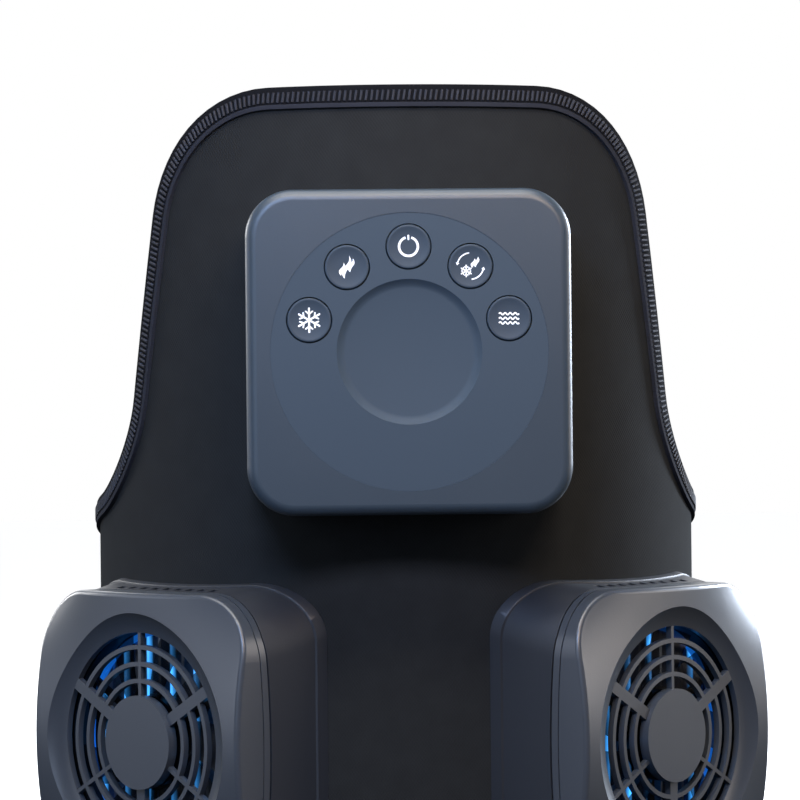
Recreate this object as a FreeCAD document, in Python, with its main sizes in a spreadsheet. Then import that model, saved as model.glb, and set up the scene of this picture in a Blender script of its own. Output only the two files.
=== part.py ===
"""Hot and cold therapy wrap for a knee: a neoprene wrap with a front control unit and two fan pods.

Frame: +Z up along the leg, the front faces -Y, +X is to the right.
Origin: on the leg's axis, at the level of the bottom hem.
Distances called "start" and "end" run outwards from the leg's axis, along -Y.
"""
import FreeCAD, Part
import math
import os
import re
import Sketcher
from FreeCAD import Placement, Rotation, Vector

Vector2d = FreeCAD.Base.Vector2d

SIZES = {
    # the wrap; lengths along its surface are measured from the front centre line
    "leg_radius": (73, "inside of the wrap"),
    "lining_thickness": (2, "soft inner lining"),
    "neoprene_thickness": (3, "outer neoprene"),
    "wrap_height": (232, "hem to the top of the front lobe"),
    "shoulder_reach": (64.6, "half width of the lobe's top corners, along the surface"),
    "shoulder_round": (38, "rounding of the lobe's top corners"),
    "waist_reach": (84.7, "half width where the lobe meets the wings"),
    "waist_height": (135.7, "height where the lobe meets the wings"),
    "waist_round": (32, "rounding between lobe and wings"),
    "wing_reach": (163.4, "half length of the wings, along the surface"),
    "wing_height": (119, "height of the wings' ends"),
    "wing_round": (25, "rounding of the wings' upper corners"),
    "foot_round": (14, "rounding of the wings' lower corners"),
    "binding_width": (4.9, "edge tape"),
    "binding_rise": (0.8, "edge tape above the neoprene"),
    "hem_trim": (1, "tape that is cut off so that the hem ends in one plane"),
    "fit_gap": (0.1, "gap between pieces that are fitted together"),
    # the fan pods
    "pod_angle": (46, "degrees from the front, each side"),
    "pod_height": (71, "centre above the hem"),
    "pod_width": (74.2, "square face"),
    "pod_corner": (16, "corner rounding of the face"),
    "pod_rise": (16.4, "face above the neoprene"),
    "pod_corner_drop": (6.6, "how far the pillowed face falls towards its corners"),
    "pod_rim_round": (1.2, "rounding along the rim of the face"),
    "pod_wall": (2, "side walls"),
    "pod_flare": (9.2, "degrees that the rear shell's walls spread towards the leg"),
    "pod_core_corner": (12, "corner rounding of those walls if they ran on to half the leg's radius"),
    "seam_setback": (9.5, "parting line behind the face, near the corners"),
    "seam_arch": (1.6, "extra depth of the parting line at mid-height"),
    "seam_arch_half": (27, "half height of the arched part of the line"),
    "seam_gap": (0.3, "shadow gap at the parting line"),
    "groove_setback": (1.9, "groove round the cover in front of the parting line"),
    "groove_width": (0.35, "groove round the cover"),
    "groove_depth": (0.4, "groove round the cover"),
    "lip_rise": (1.6, "tongue of the rear shell inside the cover"),
    "lip_wall": (0.9, "thickness of the tongue"),
    "flange_reach": (0.45, "base flange outside the pod's walls"),
    "floor_thickness": (2.3, "base flange and floor"),
    "dish_radius": (32.1, "rim of the dish round the grille"),
    "dish_depth": (2.45, "dish below the face"),
    "dish_sag": (0.4, "hollow of the dish's slope"),
    "grille_radius": (27.2, "outside of the air slots"),
    "grille_thickness": (1.6, "grille bars"),
    "hub_radius": (11.6, "solid disc in the middle of the grille"),
    "hub_rise": (1.15, "disc above the bars"),
    "ring_width": (1.1, "thin rings between the slots"),
    "spoke_wide": (2.9, "three strong spokes"),
    "spoke_thin": (1, "three thin spokes"),
    "hollow_roof": (4.4, "hollow of the cover behind the face"),
    "vent_width": (2.2, "exhaust slots in the top and bottom walls"),
    "vent_depth": (2.4, "exhaust slots, across the wall"),
    "vent_pitch": (4.2, "from slot to slot"),
    "post_reach": (28.2, "fan posts from the pod's centre"),
    "post_radius": (2.7, "fan posts"),
    "clamp_side": (66, "clamp frame"),
    "clamp_corner": (7, "corners of the clamp frame"),
    "plate_inset": (0.2, "cold plate below the lining's surface"),
    "plate_side": (45, "cold plate"),
    "plate_corner": (4, "cold plate corners"),
    "plate_depth": (2.2, "cold plate at its middle"),
    "tile_side": (40, "thermoelectric tile"),
    "tile_thickness": (3, "thermoelectric tile"),
    "foam_side": (47.6, "foam frame round the tile"),
    "foam_gap": (0.4, "between the foam frame and the wrap's window"),
    "sink_side": (52, "heat sink"),
    "sink_base": (1.4, "heat sink base"),
    "fin_rise": (3.4, "heat sink fins"),
    "fin_width": (1, "heat sink fins"),
    "fin_pitch": (4.25, "from fin to fin"),
    "ring_inner": (26.2, "light ring"),
    "ring_outer": (29.5, "light ring"),
    "ring_thickness": (0.8, "light ring"),
    "fan_side": (64.8, "fan frame"),
    "fan_corner": (8, "corners of the fan frame"),
    "fan_bore": (27.6, "air path through the fan"),
    "fan_depth": (5, "fan frame"),
    "blade_radius": (26.8, "tips of the blades"),
    "cup_radius": (11.4, "hub of the rotor"),
    "cup_wall": (1.2, "hub of the rotor"),
    "blade_thickness": (0.7, "rotor blades"),
    "blade_inset": (0.2, "blades inside the ends of the rotor's hub"),
    "rotor_lid": (0.9, "front of the rotor's hub"),
    "rotor_gap": (0.3, "rotor clear of the arms behind it and of the frame's front"),
    "arm_width": (2, "arms that hold the fan motor"),
    "arm_thickness": (0.8, "arms that hold the fan motor"),
    "motor_radius": (9.6, "fan motor"),
    "motor_length": (2.2, "fan motor"),
    "shaft_radius": (1, "rotor shaft"),
    "shaft_clearance": (0.03, "running fit of the shaft"),
    "pod_screw_across": (9, "clamp screws from the pod's centre line"),
    "pod_screw_up": (29.7, "clamp screws above and below the centre"),
    # the control unit
    "unit_drop": (65.5, "centre below the top of the lobe"),
    "unit_width": (78, "square face"),
    "unit_corner": (11.5, "corner rounding of the face"),
    "unit_rise": (21, "face above the neoprene"),
    "unit_rim_round": (2.6, "rounding along the rim of the face"),
    "unit_wall": (2, "walls"),
    "unit_seam_setback": (11, "parting line behind the face"),
    "unit_floor": (2.2, "floor of the rear case"),
    "unit_roof": (2.2, "front wall of the cover"),
    "inlay_radius": (33.2, "round face inlay"),
    "inlay_thickness": (1.15, "round face inlay"),
    "inlay_setback": (0.1, "inlay below the face"),
    "recess_rim": (17.4, "outer radius of the soft recess"),
    "recess_flat": (15.2, "radius of its flat bottom"),
    "recess_depth": (0.75, "recess below the inlay"),
    "button_circle": (25.1, "button centres from the inlay's centre"),
    "button_pitch": (36, "degrees between buttons"),
    "button_radius": (5.3, "button caps"),
    "button_clearance": (0.25, "round the caps"),
    "button_flange": (6.3, "flange that keeps a button in"),
    "button_travel": (0.6, "press of a button"),
    "button_dish": (0.35, "hollow in a cap"),
    "board_side": (68, "circuit board"),
    "board_setback": (10, "circuit board behind the face"),
    "board_thickness": (1.2, "circuit board"),
    "switch_side": (6, "key switches"),
    "switch_rise": (2.6, "key switches"),
    "plunger_rise": (0.7, "plungers of the switches"),
    "case_post_reach": (31, "case posts from the unit's centre"),
    "case_post_radius": (2.6, "case posts"),
    "battery_width": (50, "battery pack"),
    "battery_height": (40, "battery pack"),
    "battery_depth": (6.4, "battery pack"),
    "motor_across": (31, "vibration motor from the unit's centre"),
    "motor_setback": (18, "vibration motor behind the face"),
    "buzzer_radius": (4.5, "vibration motor"),
    "buzzer_length": (14, "vibration motor"),
    "weight_radius": (4.2, "vibration weight"),
    "weight_length": (4.5, "vibration weight"),
    "port_width": (9, "charging port"),
    "port_depth": (3.2, "charging port"),
    "port_length": (7, "charging port"),
    "port_setback": (15, "charging port behind the face"),
    "backing_width": (30, "backing plate inside the wrap"),
    "backing_height": (70, "backing plate inside the wrap"),
    "backing_thickness": (1.5, "backing plate inside the wrap"),
    "unit_screw_across": (9, "backing screws from the centre line"),
    "unit_screw_up": (31, "backing screws above and below the centre"),
    "screw_radius": (1.1, "all screws"),
    "head_radius": (2.1, "all screw heads"),
    "head_rise": (0.7, "all screw heads"),
    # leads and straps
    "lead_width": (10, "flat leads inside the wrap"),
    "lead_thickness": (0.7, "flat leads inside the wrap"),
    "lead_across": (24, "where the leads leave the control unit"),
    "lead_drop": (25.5, "where the leads leave, below the unit's centre"),
    "strap_width": (38, "elastic straps"),
    "strap_thickness": (2, "elastic straps"),
    "strap_rise": (1.9, "straps above the neoprene"),
    "upper_strap_height": (86, "centre above the hem"),
    "lower_strap_height": (30, "centre above the hem"),
    "strap_start": (112.5, "degrees from the front, on the left"),
    "strap_end": (98, "degrees from the front, on the right"),
    "anchor_length": (16, "sewn end of a strap"),
    "hinge_gap": (0.5, "between a strap and its sewn end"),
    "patch_thickness": (0.8, "hook and loop patches"),
    "patch_gap": (0.3, "between hook and loop"),
    "patch_angle": (16, "degrees that a hook patch reaches round the leg"),
    "patch_margin": (1, "hook patch from the strap's edges and end, in mm and in degrees"),
    "patch_round": (3, "corners of the patches"),
}

# sizes that follow from the ones above
DERIVED = {
    "wrap_radius": "leg_radius + lining_thickness + neoprene_thickness",
    "unit_height": "wrap_height - unit_drop",
    "lead_up": "wrap_height - unit_drop - lead_drop",
    "pod_face": "wrap_radius + pod_rise",
    "unit_face": "wrap_radius + unit_rise",
    "unit_seam": "unit_face - unit_seam_setback",
    "board_back": "unit_face - board_setback",
    "motor_from_axis": "unit_face - motor_setback",
    "port_from_axis": "unit_face - port_setback",
    "near": "leg_radius / 2",          # well inside the wrap, where tools and uncut blocks begin
    "far": "leg_radius * 2",           # well outside it, where they end
}

ARC_POINTS = 9
FIN_COUNT = 12
VENT_COUNT = 9
BLADE_COUNT = 9
RING_COUNT = 3
SPOKE_PAIRS = 3
BUTTONS = ("cold", "heat", "power", "contrast", "vibration")
SIDES = {"left": -1, "right": 1}

doc = FreeCAD.newDocument("TherapyWrap")
sheet = doc.addObject("Spreadsheet::Sheet", "Sizes")
rows = [(alias, str(value), note) for alias, (value, note) in SIZES.items()]
rows += [(alias, "=" + formula, formula) for alias, formula in DERIVED.items()]
for row, (alias, value, note) in enumerate(rows, start=1):
    sheet.set("A%d" % row, note)
    sheet.set("B%d" % row, value)
    sheet.setAlias("B%d" % row, alias)
doc.recompute()

NAMES = set(SIZES) | set(DERIVED)
nodes = {}


def tied(expression):
    """The expression with each size's name pointing into the sheet."""
    return re.sub(r"[a-z_]+", lambda word: "Sizes." + word.group() if word.group() in NAMES else word.group(),
                  str(expression))


def size(expression):
    """The present value of an expression on the sheet's sizes."""
    return float(sheet.evalExpression(tied(expression)))


def bind(thing, **expressions):
    for name, expression in expressions.items():
        thing.setExpression(name.replace("__", "."), tied(expression))


def node(name, thing, placement=None):
    """Gives a finished sub-part its label and its place."""
    if placement is not None:
        thing.Placement = placement
    thing.Label = name
    nodes[name] = thing
    return thing


# ---- solids that face the front -------------------------------------------------------------

FACING = Rotation(Vector(1, 0, 0), 90)     # a sketch's or cylinder's own +Z comes to point along -Y


def rounded_outline(sketch, width, height, corner):
    """A rectangle with four equal round corners, centred on the sketch's origin."""
    half_w, half_h, r = size(width) / 2, size(height) / 2, size(corner)
    x, y = half_w - r, half_h - r
    up = Vector(0, 0, 1)

    def line(x0, y0, x1, y1):
        return Part.LineSegment(Vector(x0, y0, 0), Vector(x1, y1, 0))

    def arc(cx, cy, first):
        return Part.ArcOfCircle(Part.Circle(Vector(cx, cy, 0), up, r), first, first + math.pi / 2)

    sketch.addGeometry([line(-x, -half_h, x, -half_h), arc(x, -y, -math.pi / 2),
                        line(half_w, -y, half_w, y), arc(x, y, 0),
                        line(x, half_h, -x, half_h), arc(-x, y, math.pi / 2),
                        line(-half_w, y, -half_w, -y), arc(-x, -y, math.pi)], False)
    for side in range(8):
        sketch.addConstraint(Sketcher.Constraint("Tangent", side, 2, (side + 1) % 8, 1))
    for side in (0, 4):
        sketch.addConstraint(Sketcher.Constraint("Horizontal", side))
        sketch.addConstraint(Sketcher.Constraint("Vertical", side + 2))
    for side in (3, 5, 7):
        sketch.addConstraint(Sketcher.Constraint("Equal", 1, side))
    sketch.addConstraint(Sketcher.Constraint("Symmetric", 7, 3, 3, 3, -1, 1))
    for name, constraint, expression in (
            ("corner", Sketcher.Constraint("Radius", 1, r), corner),
            ("across", Sketcher.Constraint("DistanceX", 7, 3, 1, 3, 2 * x), "(%s) - 2 * (%s)" % (width, corner)),
            ("up", Sketcher.Constraint("DistanceY", 1, 3, 3, 3, 2 * y), "(%s) - 2 * (%s)" % (height, corner))):
        index = sketch.addConstraint(constraint)
        sketch.renameConstraint(index, name)
        sketch.setExpression("Constraints." + name, tied(expression))


def block(name, width, height, corner, start, end, across="0", up="0"):
    """A block with round corners that faces the front."""
    sketch = doc.addObject("Sketcher::SketchObject", name + "_outline")
    sketch.Placement = Placement(Vector(0, 0, 0), FACING)
    bind(sketch, Placement__Base__x=across, Placement__Base__y="-(%s)" % start, Placement__Base__z=up)
    rounded_outline(sketch, width, height, corner)
    solid = doc.addObject("Part::Extrusion", name)
    solid.Base = sketch
    solid.DirMode = "Normal"
    solid.Solid = True
    bind(solid, LengthFwd="(%s) - (%s)" % (end, start))
    return solid


def flared(name, grown):
    """A pod's walls as one block, grown all round: it starts at the seam and widens towards the leg."""
    ends = []
    for place, spread, corner in ((SEAM, "0", "pod_corner"),
                                  ("near", "(%s - near) * tan(pod_flare * 1 deg)" % SEAM, "pod_core_corner")):
        sketch = doc.addObject("Sketcher::SketchObject", "%s_end_%d" % (name, len(ends)))
        sketch.Placement = Placement(Vector(0, 0, 0), FACING)
        bind(sketch, Placement__Base__y="-(%s)" % place)
        width = "pod_width + 2 * (%s) + 2 * (%s)" % (grown, spread)
        rounded_outline(sketch, width, width, "%s + (%s)" % (corner, grown))
        ends.append(sketch)
    solid = doc.addObject("Part::Loft", name)
    solid.Sections = ends
    solid.Solid = True
    solid.Ruled = True
    return solid


def box(name, width, height, start, end, across="0", up="0"):
    """A square-edged box that faces the front."""
    solid = doc.addObject("Part::Box", name)
    bind(solid, Length=width, Width="(%s) - (%s)" % (end, start), Height=height,
         Placement__Base__x="(%s) - (%s) / 2" % (across, width), Placement__Base__y="-(%s)" % end,
         Placement__Base__z="(%s) - (%s) / 2" % (up, height))
    return solid


def rod(name, radius, start, end, across="0", up="0"):
    """A round rod that points to the front."""
    solid = doc.addObject("Part::Cylinder", name)
    solid.Placement = Placement(Vector(0, 0, 0), FACING)
    bind(solid, Radius=radius, Height="(%s) - (%s)" % (end, start), Placement__Base__x=across,
         Placement__Base__y="-(%s)" % start, Placement__Base__z=up)
    return solid


def drum(name, radius, across="0", from_axis="0"):
    """An upright cylinder, round the leg's axis unless it is placed elsewhere."""
    solid = doc.addObject("Part::Cylinder", name)
    bind(solid, Radius=radius, Height="2 * far", Placement__Base__x=across,
         Placement__Base__y="-(%s)" % from_axis, Placement__Base__z="-far")
    return solid


def fuse(name, *solids):
    whole = doc.addObject("Part::MultiFuse", name)
    whole.Shapes = list(solids)
    whole.Refine = True
    return whole


def common(name, *solids):
    shared = doc.addObject("Part::MultiCommon", name)
    shared.Shapes = list(solids)
    return shared


def cut(name, base, *tools):
    left = doc.addObject("Part::Cut", name)
    left.Base = base
    left.Tool = tools[0] if len(tools) == 1 else fuse(name + "_tools", *tools)
    return left


def group(name, *solids):
    """Identical pieces that share one node."""
    several = doc.addObject("Part::Compound", name)
    several.Links = list(solids)
    return several


def curved_plate(name, inner, outer, outline):
    """The part of a shell round the leg that an outline block takes in."""
    shell = cut(name + "_shell", drum(name + "_outside", outer), drum(name + "_inside", inner))
    return common(name, shell, outline)


def four_corners(across, up):
    """The four places that mirror each other about the centre."""
    return [("%s * (%s)" % (sx, across), "%s * (%s)" % (sz, up)) for sx in (-1, 1) for sz in (-1, 1)]


def screws(name, head_end, tip_end, places):
    """Screws whose heads are towards the leg."""
    made = []
    for number, (across, up) in enumerate(places):
        head = rod("%s_head_%d" % (name, number), "head_radius", head_end, "%s + head_rise" % head_end, across, up)
        shank = rod("%s_shank_%d" % (name, number), "screw_radius", "%s + head_rise" % head_end, tip_end, across, up)
        made.append(fuse("%s_%d" % (name, number), head, shank))
    return group(name, *made)


def screw_ways(name, head_end, tip_end, places):
    """Holes for those screws, with room for the heads."""
    ways = []
    for number, (across, up) in enumerate(places):
        ways.append(rod("%s_bore_%d" % (name, number), "screw_radius + fit_gap / 2", "%s - 2" % head_end,
                        "%s + fit_gap" % tip_end, across, up))
        ways.append(rod("%s_sink_%d" % (name, number), "head_radius + fit_gap", "%s - 8" % head_end,
                        "%s + head_rise" % head_end, across, up))
    return ways


# ---- sheets that follow the leg -------------------------------------------------------------

def rounded_polygon(corners, inset=0):
    """A closed flat outline from corners (along, up, rounding), moved inwards by the inset.

    It comes as a list of pieces in order, each a list of points: two for a straight, more for a rounding.
    """
    count = len(corners)
    points = [Vector(along, up, 0) for along, up, rounding in corners]
    turning = sum(points[i - 1].cross(points[i]).z for i in range(count))
    roundings = []
    for index, (here, (_, _, radius)) in enumerate(zip(points, corners)):
        before = (points[index - 1] - here).normalize()
        after = (points[(index + 1) % count] - here).normalize()
        half_angle = before.getAngle(after) / 2
        run = radius / math.tan(half_angle)
        centre = here + (before + after).normalize() * (radius / math.sin(half_angle))
        outwards = after.cross(before).z * turning > 0
        scale = (radius - inset if outwards else radius + inset) / radius
        first = (here + before * run - centre) * scale
        last = (here + after * run - centre) * scale
        sweep = math.atan2(first.cross(last).z, first.dot(last))
        roundings.append([centre + Rotation(Vector(0, 0, 1), math.degrees(sweep * step / (ARC_POINTS - 1)))
                          .multVec(first) for step in range(ARC_POINTS)])
    pieces = []
    for index, rounding in enumerate(roundings):
        pieces.append(rounding)
        straight = [rounding[-1], roundings[(index + 1) % count][0]]
        if (straight[1] - straight[0]).Length > 1e-6:
            pieces.append(straight)
    return pieces


def leg_cylinder(radius):
    """A cylinder round the leg whose angle is zero at the front."""
    surface = Part.Cylinder()
    surface.Radius = radius
    surface.rotate(Placement(Vector(0, 0, 0), Vector(0, 0, 1), -90))
    return surface


def laid(piece, surface, measured_at):
    """One piece of a flat outline as an edge round the leg; its length is true at the given radius."""
    flat = [Vector2d(point.x / measured_at, point.y) for point in piece]
    if len(flat) == 2:
        return Part.Geom2d.Line2dSegment(*flat).toShape(surface)
    curve = Part.Geom2d.BSplineCurve2d()
    curve.interpolate(flat)
    return curve.toShape(surface)


def closed_solid(faces):
    shell = Part.makeShell(faces)
    shell.sewShape()
    solid = Part.makeSolid(shell)
    if solid.Volume < 0:
        solid.reverse()
    return solid


def sheet_round_leg(outline, inner, outer, measured_at):
    """A closed solid of a flat outline, bent round the leg between two radii."""
    faces = []
    rims = []
    for radius in (inner, outer):
        surface = leg_cylinder(radius)
        edges = [laid(piece, surface, measured_at) for piece in outline]
        face = Part.Face(surface, Part.Wire(edges))
        face.validate()
        faces.append(face)
        rims.append(edges)
    faces += [Part.makeRuledSurface(edge, opposite) for edge, opposite in zip(*rims)]
    return closed_solid(faces)


def tape_round_leg(outline, inline, inner, outer, measured_at):
    """A closed ring between two flat outlines with matching pieces, bent round the leg."""
    faces = []
    rims = []
    for radius in (inner, outer):
        surface = leg_cylinder(radius)
        for far, near in zip(outline, inline):
            across = [[far[-1], near[-1]], [near[0], far[0]]]
            loop = [far, across[0], list(reversed(near)), across[1]]
            face = Part.Face(surface, Part.Wire([laid(piece, surface, measured_at) for piece in loop]))
            face.validate()
            faces.append(face)
        rims.append([laid(piece, surface, measured_at) for piece in outline + inline])
    faces += [Part.makeRuledSurface(edge, opposite) for edge, opposite in zip(*rims)]
    return closed_solid(faces)


def feature(name, shape):
    thing = doc.addObject("Part::Feature", name)
    thing.Shape = shape
    return thing


# ---- the wrap -------------------------------------------------------------------------------

lining_radius = size("leg_radius + lining_thickness")
wrap_radius = size("wrap_radius")

right_half = [(size("shoulder_reach"), size("wrap_height"), size("shoulder_round")),
              (size("waist_reach"), size("waist_height"), size("waist_round")),
              (size("wing_reach"), size("wing_height"), size("wing_round")),
              (size("wing_reach"), 0, size("foot_round"))]
corners = right_half + [(-along, up, r) for along, up, r in reversed(right_half)]
inside_gap = rounded_polygon(corners, size("binding_width + fit_gap"))


def pod_place(side):
    turn = Rotation(Vector(0, 0, 1), SIDES[side] * size("pod_angle"))
    return Placement(Vector(0, 0, size("pod_height")), turn)


UNIT_PLACE = Placement(Vector(0, 0, size("unit_height")), Rotation())

POD_SCREWS = four_corners("pod_screw_across", "pod_screw_up")
UNIT_SCREWS = four_corners("unit_screw_across", "unit_screw_up")
POD_HEAD = "leg_radius - 0.1"
POD_TIP = "leg_radius + 9"
UNIT_HEAD = "leg_radius + 1.8"
UNIT_TIP = "leg_radius + 11"


def lead_outline(sign, spare):
    """The flat lead's L shape on the wrap, from the control unit down and across to a pod."""
    half = size("lead_width") / 2 + spare
    across = size("lead_across")
    opening = math.radians(size("pod_angle")) * wrap_radius - size("foam_side") / 2 - 2 * size("foam_gap")
    pod = size("pod_height")
    corners = [(across - half, size("lead_up") + spare), (across + half, size("lead_up") + spare),
               (across + half, pod + half), (opening, pod + half), (opening, pod - half), (across - half, pod - half)]
    if sign > 0:
        corners.reverse()
    rounding = 1.0
    return rounded_polygon([(sign * along, up, rounding) for along, up in corners])


def pod_tool(name, side, solid):
    """A cutting block at a pod's place."""
    holder = doc.addObject("Part::Compound", name)
    holder.Links = [solid]
    holder.Placement = pod_place(side)
    return holder


def make_wrap():
    neoprene = feature("neoprene_sheet", sheet_round_leg(inside_gap, lining_radius, wrap_radius, wrap_radius))
    lining = feature("lining_sheet", sheet_round_leg(inside_gap, size("leg_radius"), lining_radius, wrap_radius))
    neoprene_tools = []
    lining_tools = []
    for side in SIDES:
        window = block(side + "_window", "foam_side + 2 * foam_gap", "foam_side + 2 * foam_gap", "plate_corner",
                       "near", "far")
        bores = [rod("%s_sheet_bore_%d" % (side, number), "screw_radius + 0.3", "near", "far", across, up)
                 for number, (across, up) in enumerate(POD_SCREWS)]
        neoprene_tools.append(pod_tool(side + "_neoprene_tool", side, fuse(side + "_window_tools", window, *bores)))
        frame_window = block(side + "_frame_window", "clamp_side + 6 * fit_gap", "clamp_side + 6 * fit_gap",
                             "clamp_corner", "near", "far")
        lining_tools.append(pod_tool(side + "_lining_tool", side, frame_window))
        sign = SIDES[side]
        groove = sheet_round_leg(lead_outline(sign, size("fit_gap")), lining_radius - 1,
                                 lining_radius + size("lead_thickness + fit_gap"), wrap_radius)
        neoprene_tools.append(feature(side + "_lead_groove", groove))
        neoprene_tools.append(box(side + "_lead_slot", "lead_width + 1", "3", "near", "far",
                                  "%d * lead_across * 0.95" % sign, "lead_up - 2"))
    backing = block("backing_pocket_outline", "backing_width + 4 * fit_gap", "backing_height + 4 * fit_gap", "4",
                    "near", "far")
    pocket = curved_plate("backing_pocket", "near", "leg_radius + lining_thickness + backing_thickness + 0.2", backing)
    bores = [rod("unit_sheet_bore_%d" % number, "screw_radius + 0.3", "near", "far", across, up)
             for number, (across, up) in enumerate(UNIT_SCREWS)]
    holder = group("unit_tools", fuse("unit_tool", pocket, *bores))
    holder.Placement = UNIT_PLACE
    node("neoprene_panel", cut("neoprene", neoprene, *(neoprene_tools + [holder])))
    node("inner_lining", cut("lining", lining, *lining_tools))
    trim = size("hem_trim")
    low_corners = [(along, up if up else -trim, rounding) for along, up, rounding in corners]
    tape = tape_round_leg(rounded_polygon(low_corners), rounded_polygon(corners, size("binding_width")),
                          size("leg_radius"), wrap_radius + size("binding_rise"), wrap_radius)
    under = box("under_hem", "2 * far", "2 * hem_trim", "-far", "far", "0", "-hem_trim")
    node("edge_binding", cut("binding", feature("tape", tape), under))


def make_leads():
    for side, sign in SIDES.items():
        lead = sheet_round_leg(lead_outline(sign, 0), lining_radius + size("fit_gap / 2"),
                               lining_radius + size("lead_thickness"), wrap_radius)
        node(side + "_lead", feature(side + "_lead_strip", lead))


# ---- straps ---------------------------------------------------------------------------------

def strap_piece(name, from_angle, to_angle, low, high, inner, outer, rounding):
    """A strip round the back of the leg, angles in degrees from the front."""
    middle = (from_angle + to_angle) / 2
    half = math.radians(abs(to_angle - from_angle)) / 2 * outer
    wire = rounded_polygon([(half, high, rounding), (half, low, rounding), (-half, low, rounding),
                            (-half, high, rounding)])
    solid = sheet_round_leg(wire, inner, outer, outer)
    solid.rotate(Vector(0, 0, 0), Vector(0, 0, 1), middle)
    return feature(name, solid)


def make_straps():
    inner = wrap_radius + size("strap_rise")
    outer = inner + size("strap_thickness")
    patch = size("patch_thickness")
    sewn_gap = size("fit_gap")
    start = -size("strap_start")
    gap = math.degrees(size("hinge_gap") / outer)
    sewn = math.degrees(size("anchor_length") / outer)
    end = size("strap_end") - 360
    reach, margin, rounding = size("patch_angle"), size("patch_margin"), size("patch_round")
    anchors = []
    loops = []
    for name in ("upper", "lower"):
        centre = size(name + "_strap_height")
        low = centre - size("strap_width") / 2
        high = centre + size("strap_width") / 2
        anchors.append(strap_piece(name + "_sewn_end", start + sewn, start, low, high, wrap_radius + sewn_gap / 2,
                                   outer, 1))
        node(name + "_strap", strap_piece(name + "_band", start - gap, end, low, high, inner, outer, 1))
        node(name + "_hook_tab", strap_piece(name + "_hooks", end + margin + reach, end + margin, low + margin,
                                             high - margin, inner - patch - sewn_gap, inner - sewn_gap, rounding))
        loops.append(strap_piece(name + "_loops", end + 1.5 * margin + reach, end - margin, low - margin,
                                 high + margin, wrap_radius, inner - patch - sewn_gap - size("patch_gap"), rounding))
    node("strap_anchors", group("sewn_ends", *anchors))
    node("loop_patches", group("loops", *loops))


# ---- fan pods -------------------------------------------------------------------------------

FLOOR = "wrap_radius + fit_gap"
SINK_BACK = "leg_radius + plate_inset + plate_depth + tile_thickness"
FIN_TOP = SINK_BACK + " + sink_base + fin_rise"
FAN_BACK = FIN_TOP + " + 0.2 + ring_thickness"
FAN_FRONT = FAN_BACK + " + fan_depth"
SEAM = "pod_face - seam_setback"
GRILLE_FRONT = "pod_face - dish_depth"
HUB_FRONT = GRILLE_FRONT + " + hub_rise"
FAN_POSTS = four_corners("post_reach", "post_reach")


def behind_seam(name, shift):
    """Everything behind the arched parting line, moved outwards by a shift."""
    line = size(SEAM) + shift
    arch, half, tall, back = size("seam_arch"), size("seam_arch_half"), size("pod_width"), 40
    wire = Part.Wire([Part.LineSegment(Vector(0, -back, tall), Vector(0, -line, tall)).toShape(),
                      Part.LineSegment(Vector(0, -line, tall), Vector(0, -line, half)).toShape(),
                      Part.Arc(Vector(0, -line, half), Vector(0, arch - line, 0), Vector(0, -line, -half)).toShape(),
                      Part.LineSegment(Vector(0, -line, -half), Vector(0, -line, -tall)).toShape(),
                      Part.LineSegment(Vector(0, -line, -tall), Vector(0, -back, -tall)).toShape(),
                      Part.LineSegment(Vector(0, -back, -tall), Vector(0, -back, tall)).toShape()])
    solid = Part.Face(wire).extrude(Vector(2 * tall, 0, 0))
    solid.translate(Vector(-tall, 0, 0))
    return feature(name, solid)


def pillow_fall(x, z):
    """How far the pillowed face lies behind its flat middle lines."""
    half = size("pod_width") / 2
    return size("pod_corner_drop") * (x / half) ** 2 * (z / half) ** 2


def pillow(name):
    """A block under the pillowed face: level along its middle lines, falling to the corners."""
    half = size("pod_width") / 2
    poles = [[Vector(half * i, -size("pod_face") + (1 if i and k else -1 if i or k else 1)
                     * size("pod_corner_drop"), half * k) for k in (-1, 0, 1)] for i in (-1, 0, 1)]
    surface = Part.BezierSurface()
    surface.increase(2, 2)
    for i, row_of_poles in enumerate(poles, start=1):
        for k, pole in enumerate(row_of_poles, start=1):
            surface.setPole(i, k, pole)
    solid = surface.toShape().extrude(Vector(0, 40, 0))
    return feature(name, solid)


def dish_tool(name):
    """The dish in front of the grille, with the hub standing in it."""
    face, bars, hub = size("pod_face"), size(GRILLE_FRONT), size(HUB_FRONT)
    rim, slots, boss = size("dish_radius"), size("grille_radius"), size("hub_radius")
    slope = Vector(rim - slots, bars - face, 0).normalize()
    middle = Vector((rim + slots) / 2, -(face + bars) / 2, 0) + Vector(-slope.y, slope.x, 0) * size("dish_sag")
    front = face + 6
    wire = Part.Wire([Part.LineSegment(Vector(0, -hub, 0), Vector(boss, -hub, 0)).toShape(),
                      Part.LineSegment(Vector(boss, -hub, 0), Vector(boss, -bars, 0)).toShape(),
                      Part.LineSegment(Vector(boss, -bars, 0), Vector(slots, -bars, 0)).toShape(),
                      Part.Arc(Vector(slots, -bars, 0), middle, Vector(rim, -face, 0)).toShape(),
                      Part.LineSegment(Vector(rim, -face, 0), Vector(rim, -front, 0)).toShape(),
                      Part.LineSegment(Vector(rim, -front, 0), Vector(0, -front, 0)).toShape(),
                      Part.LineSegment(Vector(0, -front, 0), Vector(0, -hub, 0)).toShape()])
    solid = Part.Face(wire).revolve(Vector(0, 0, 0), Vector(0, 1, 0), 360)
    return feature(name, solid)


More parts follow.
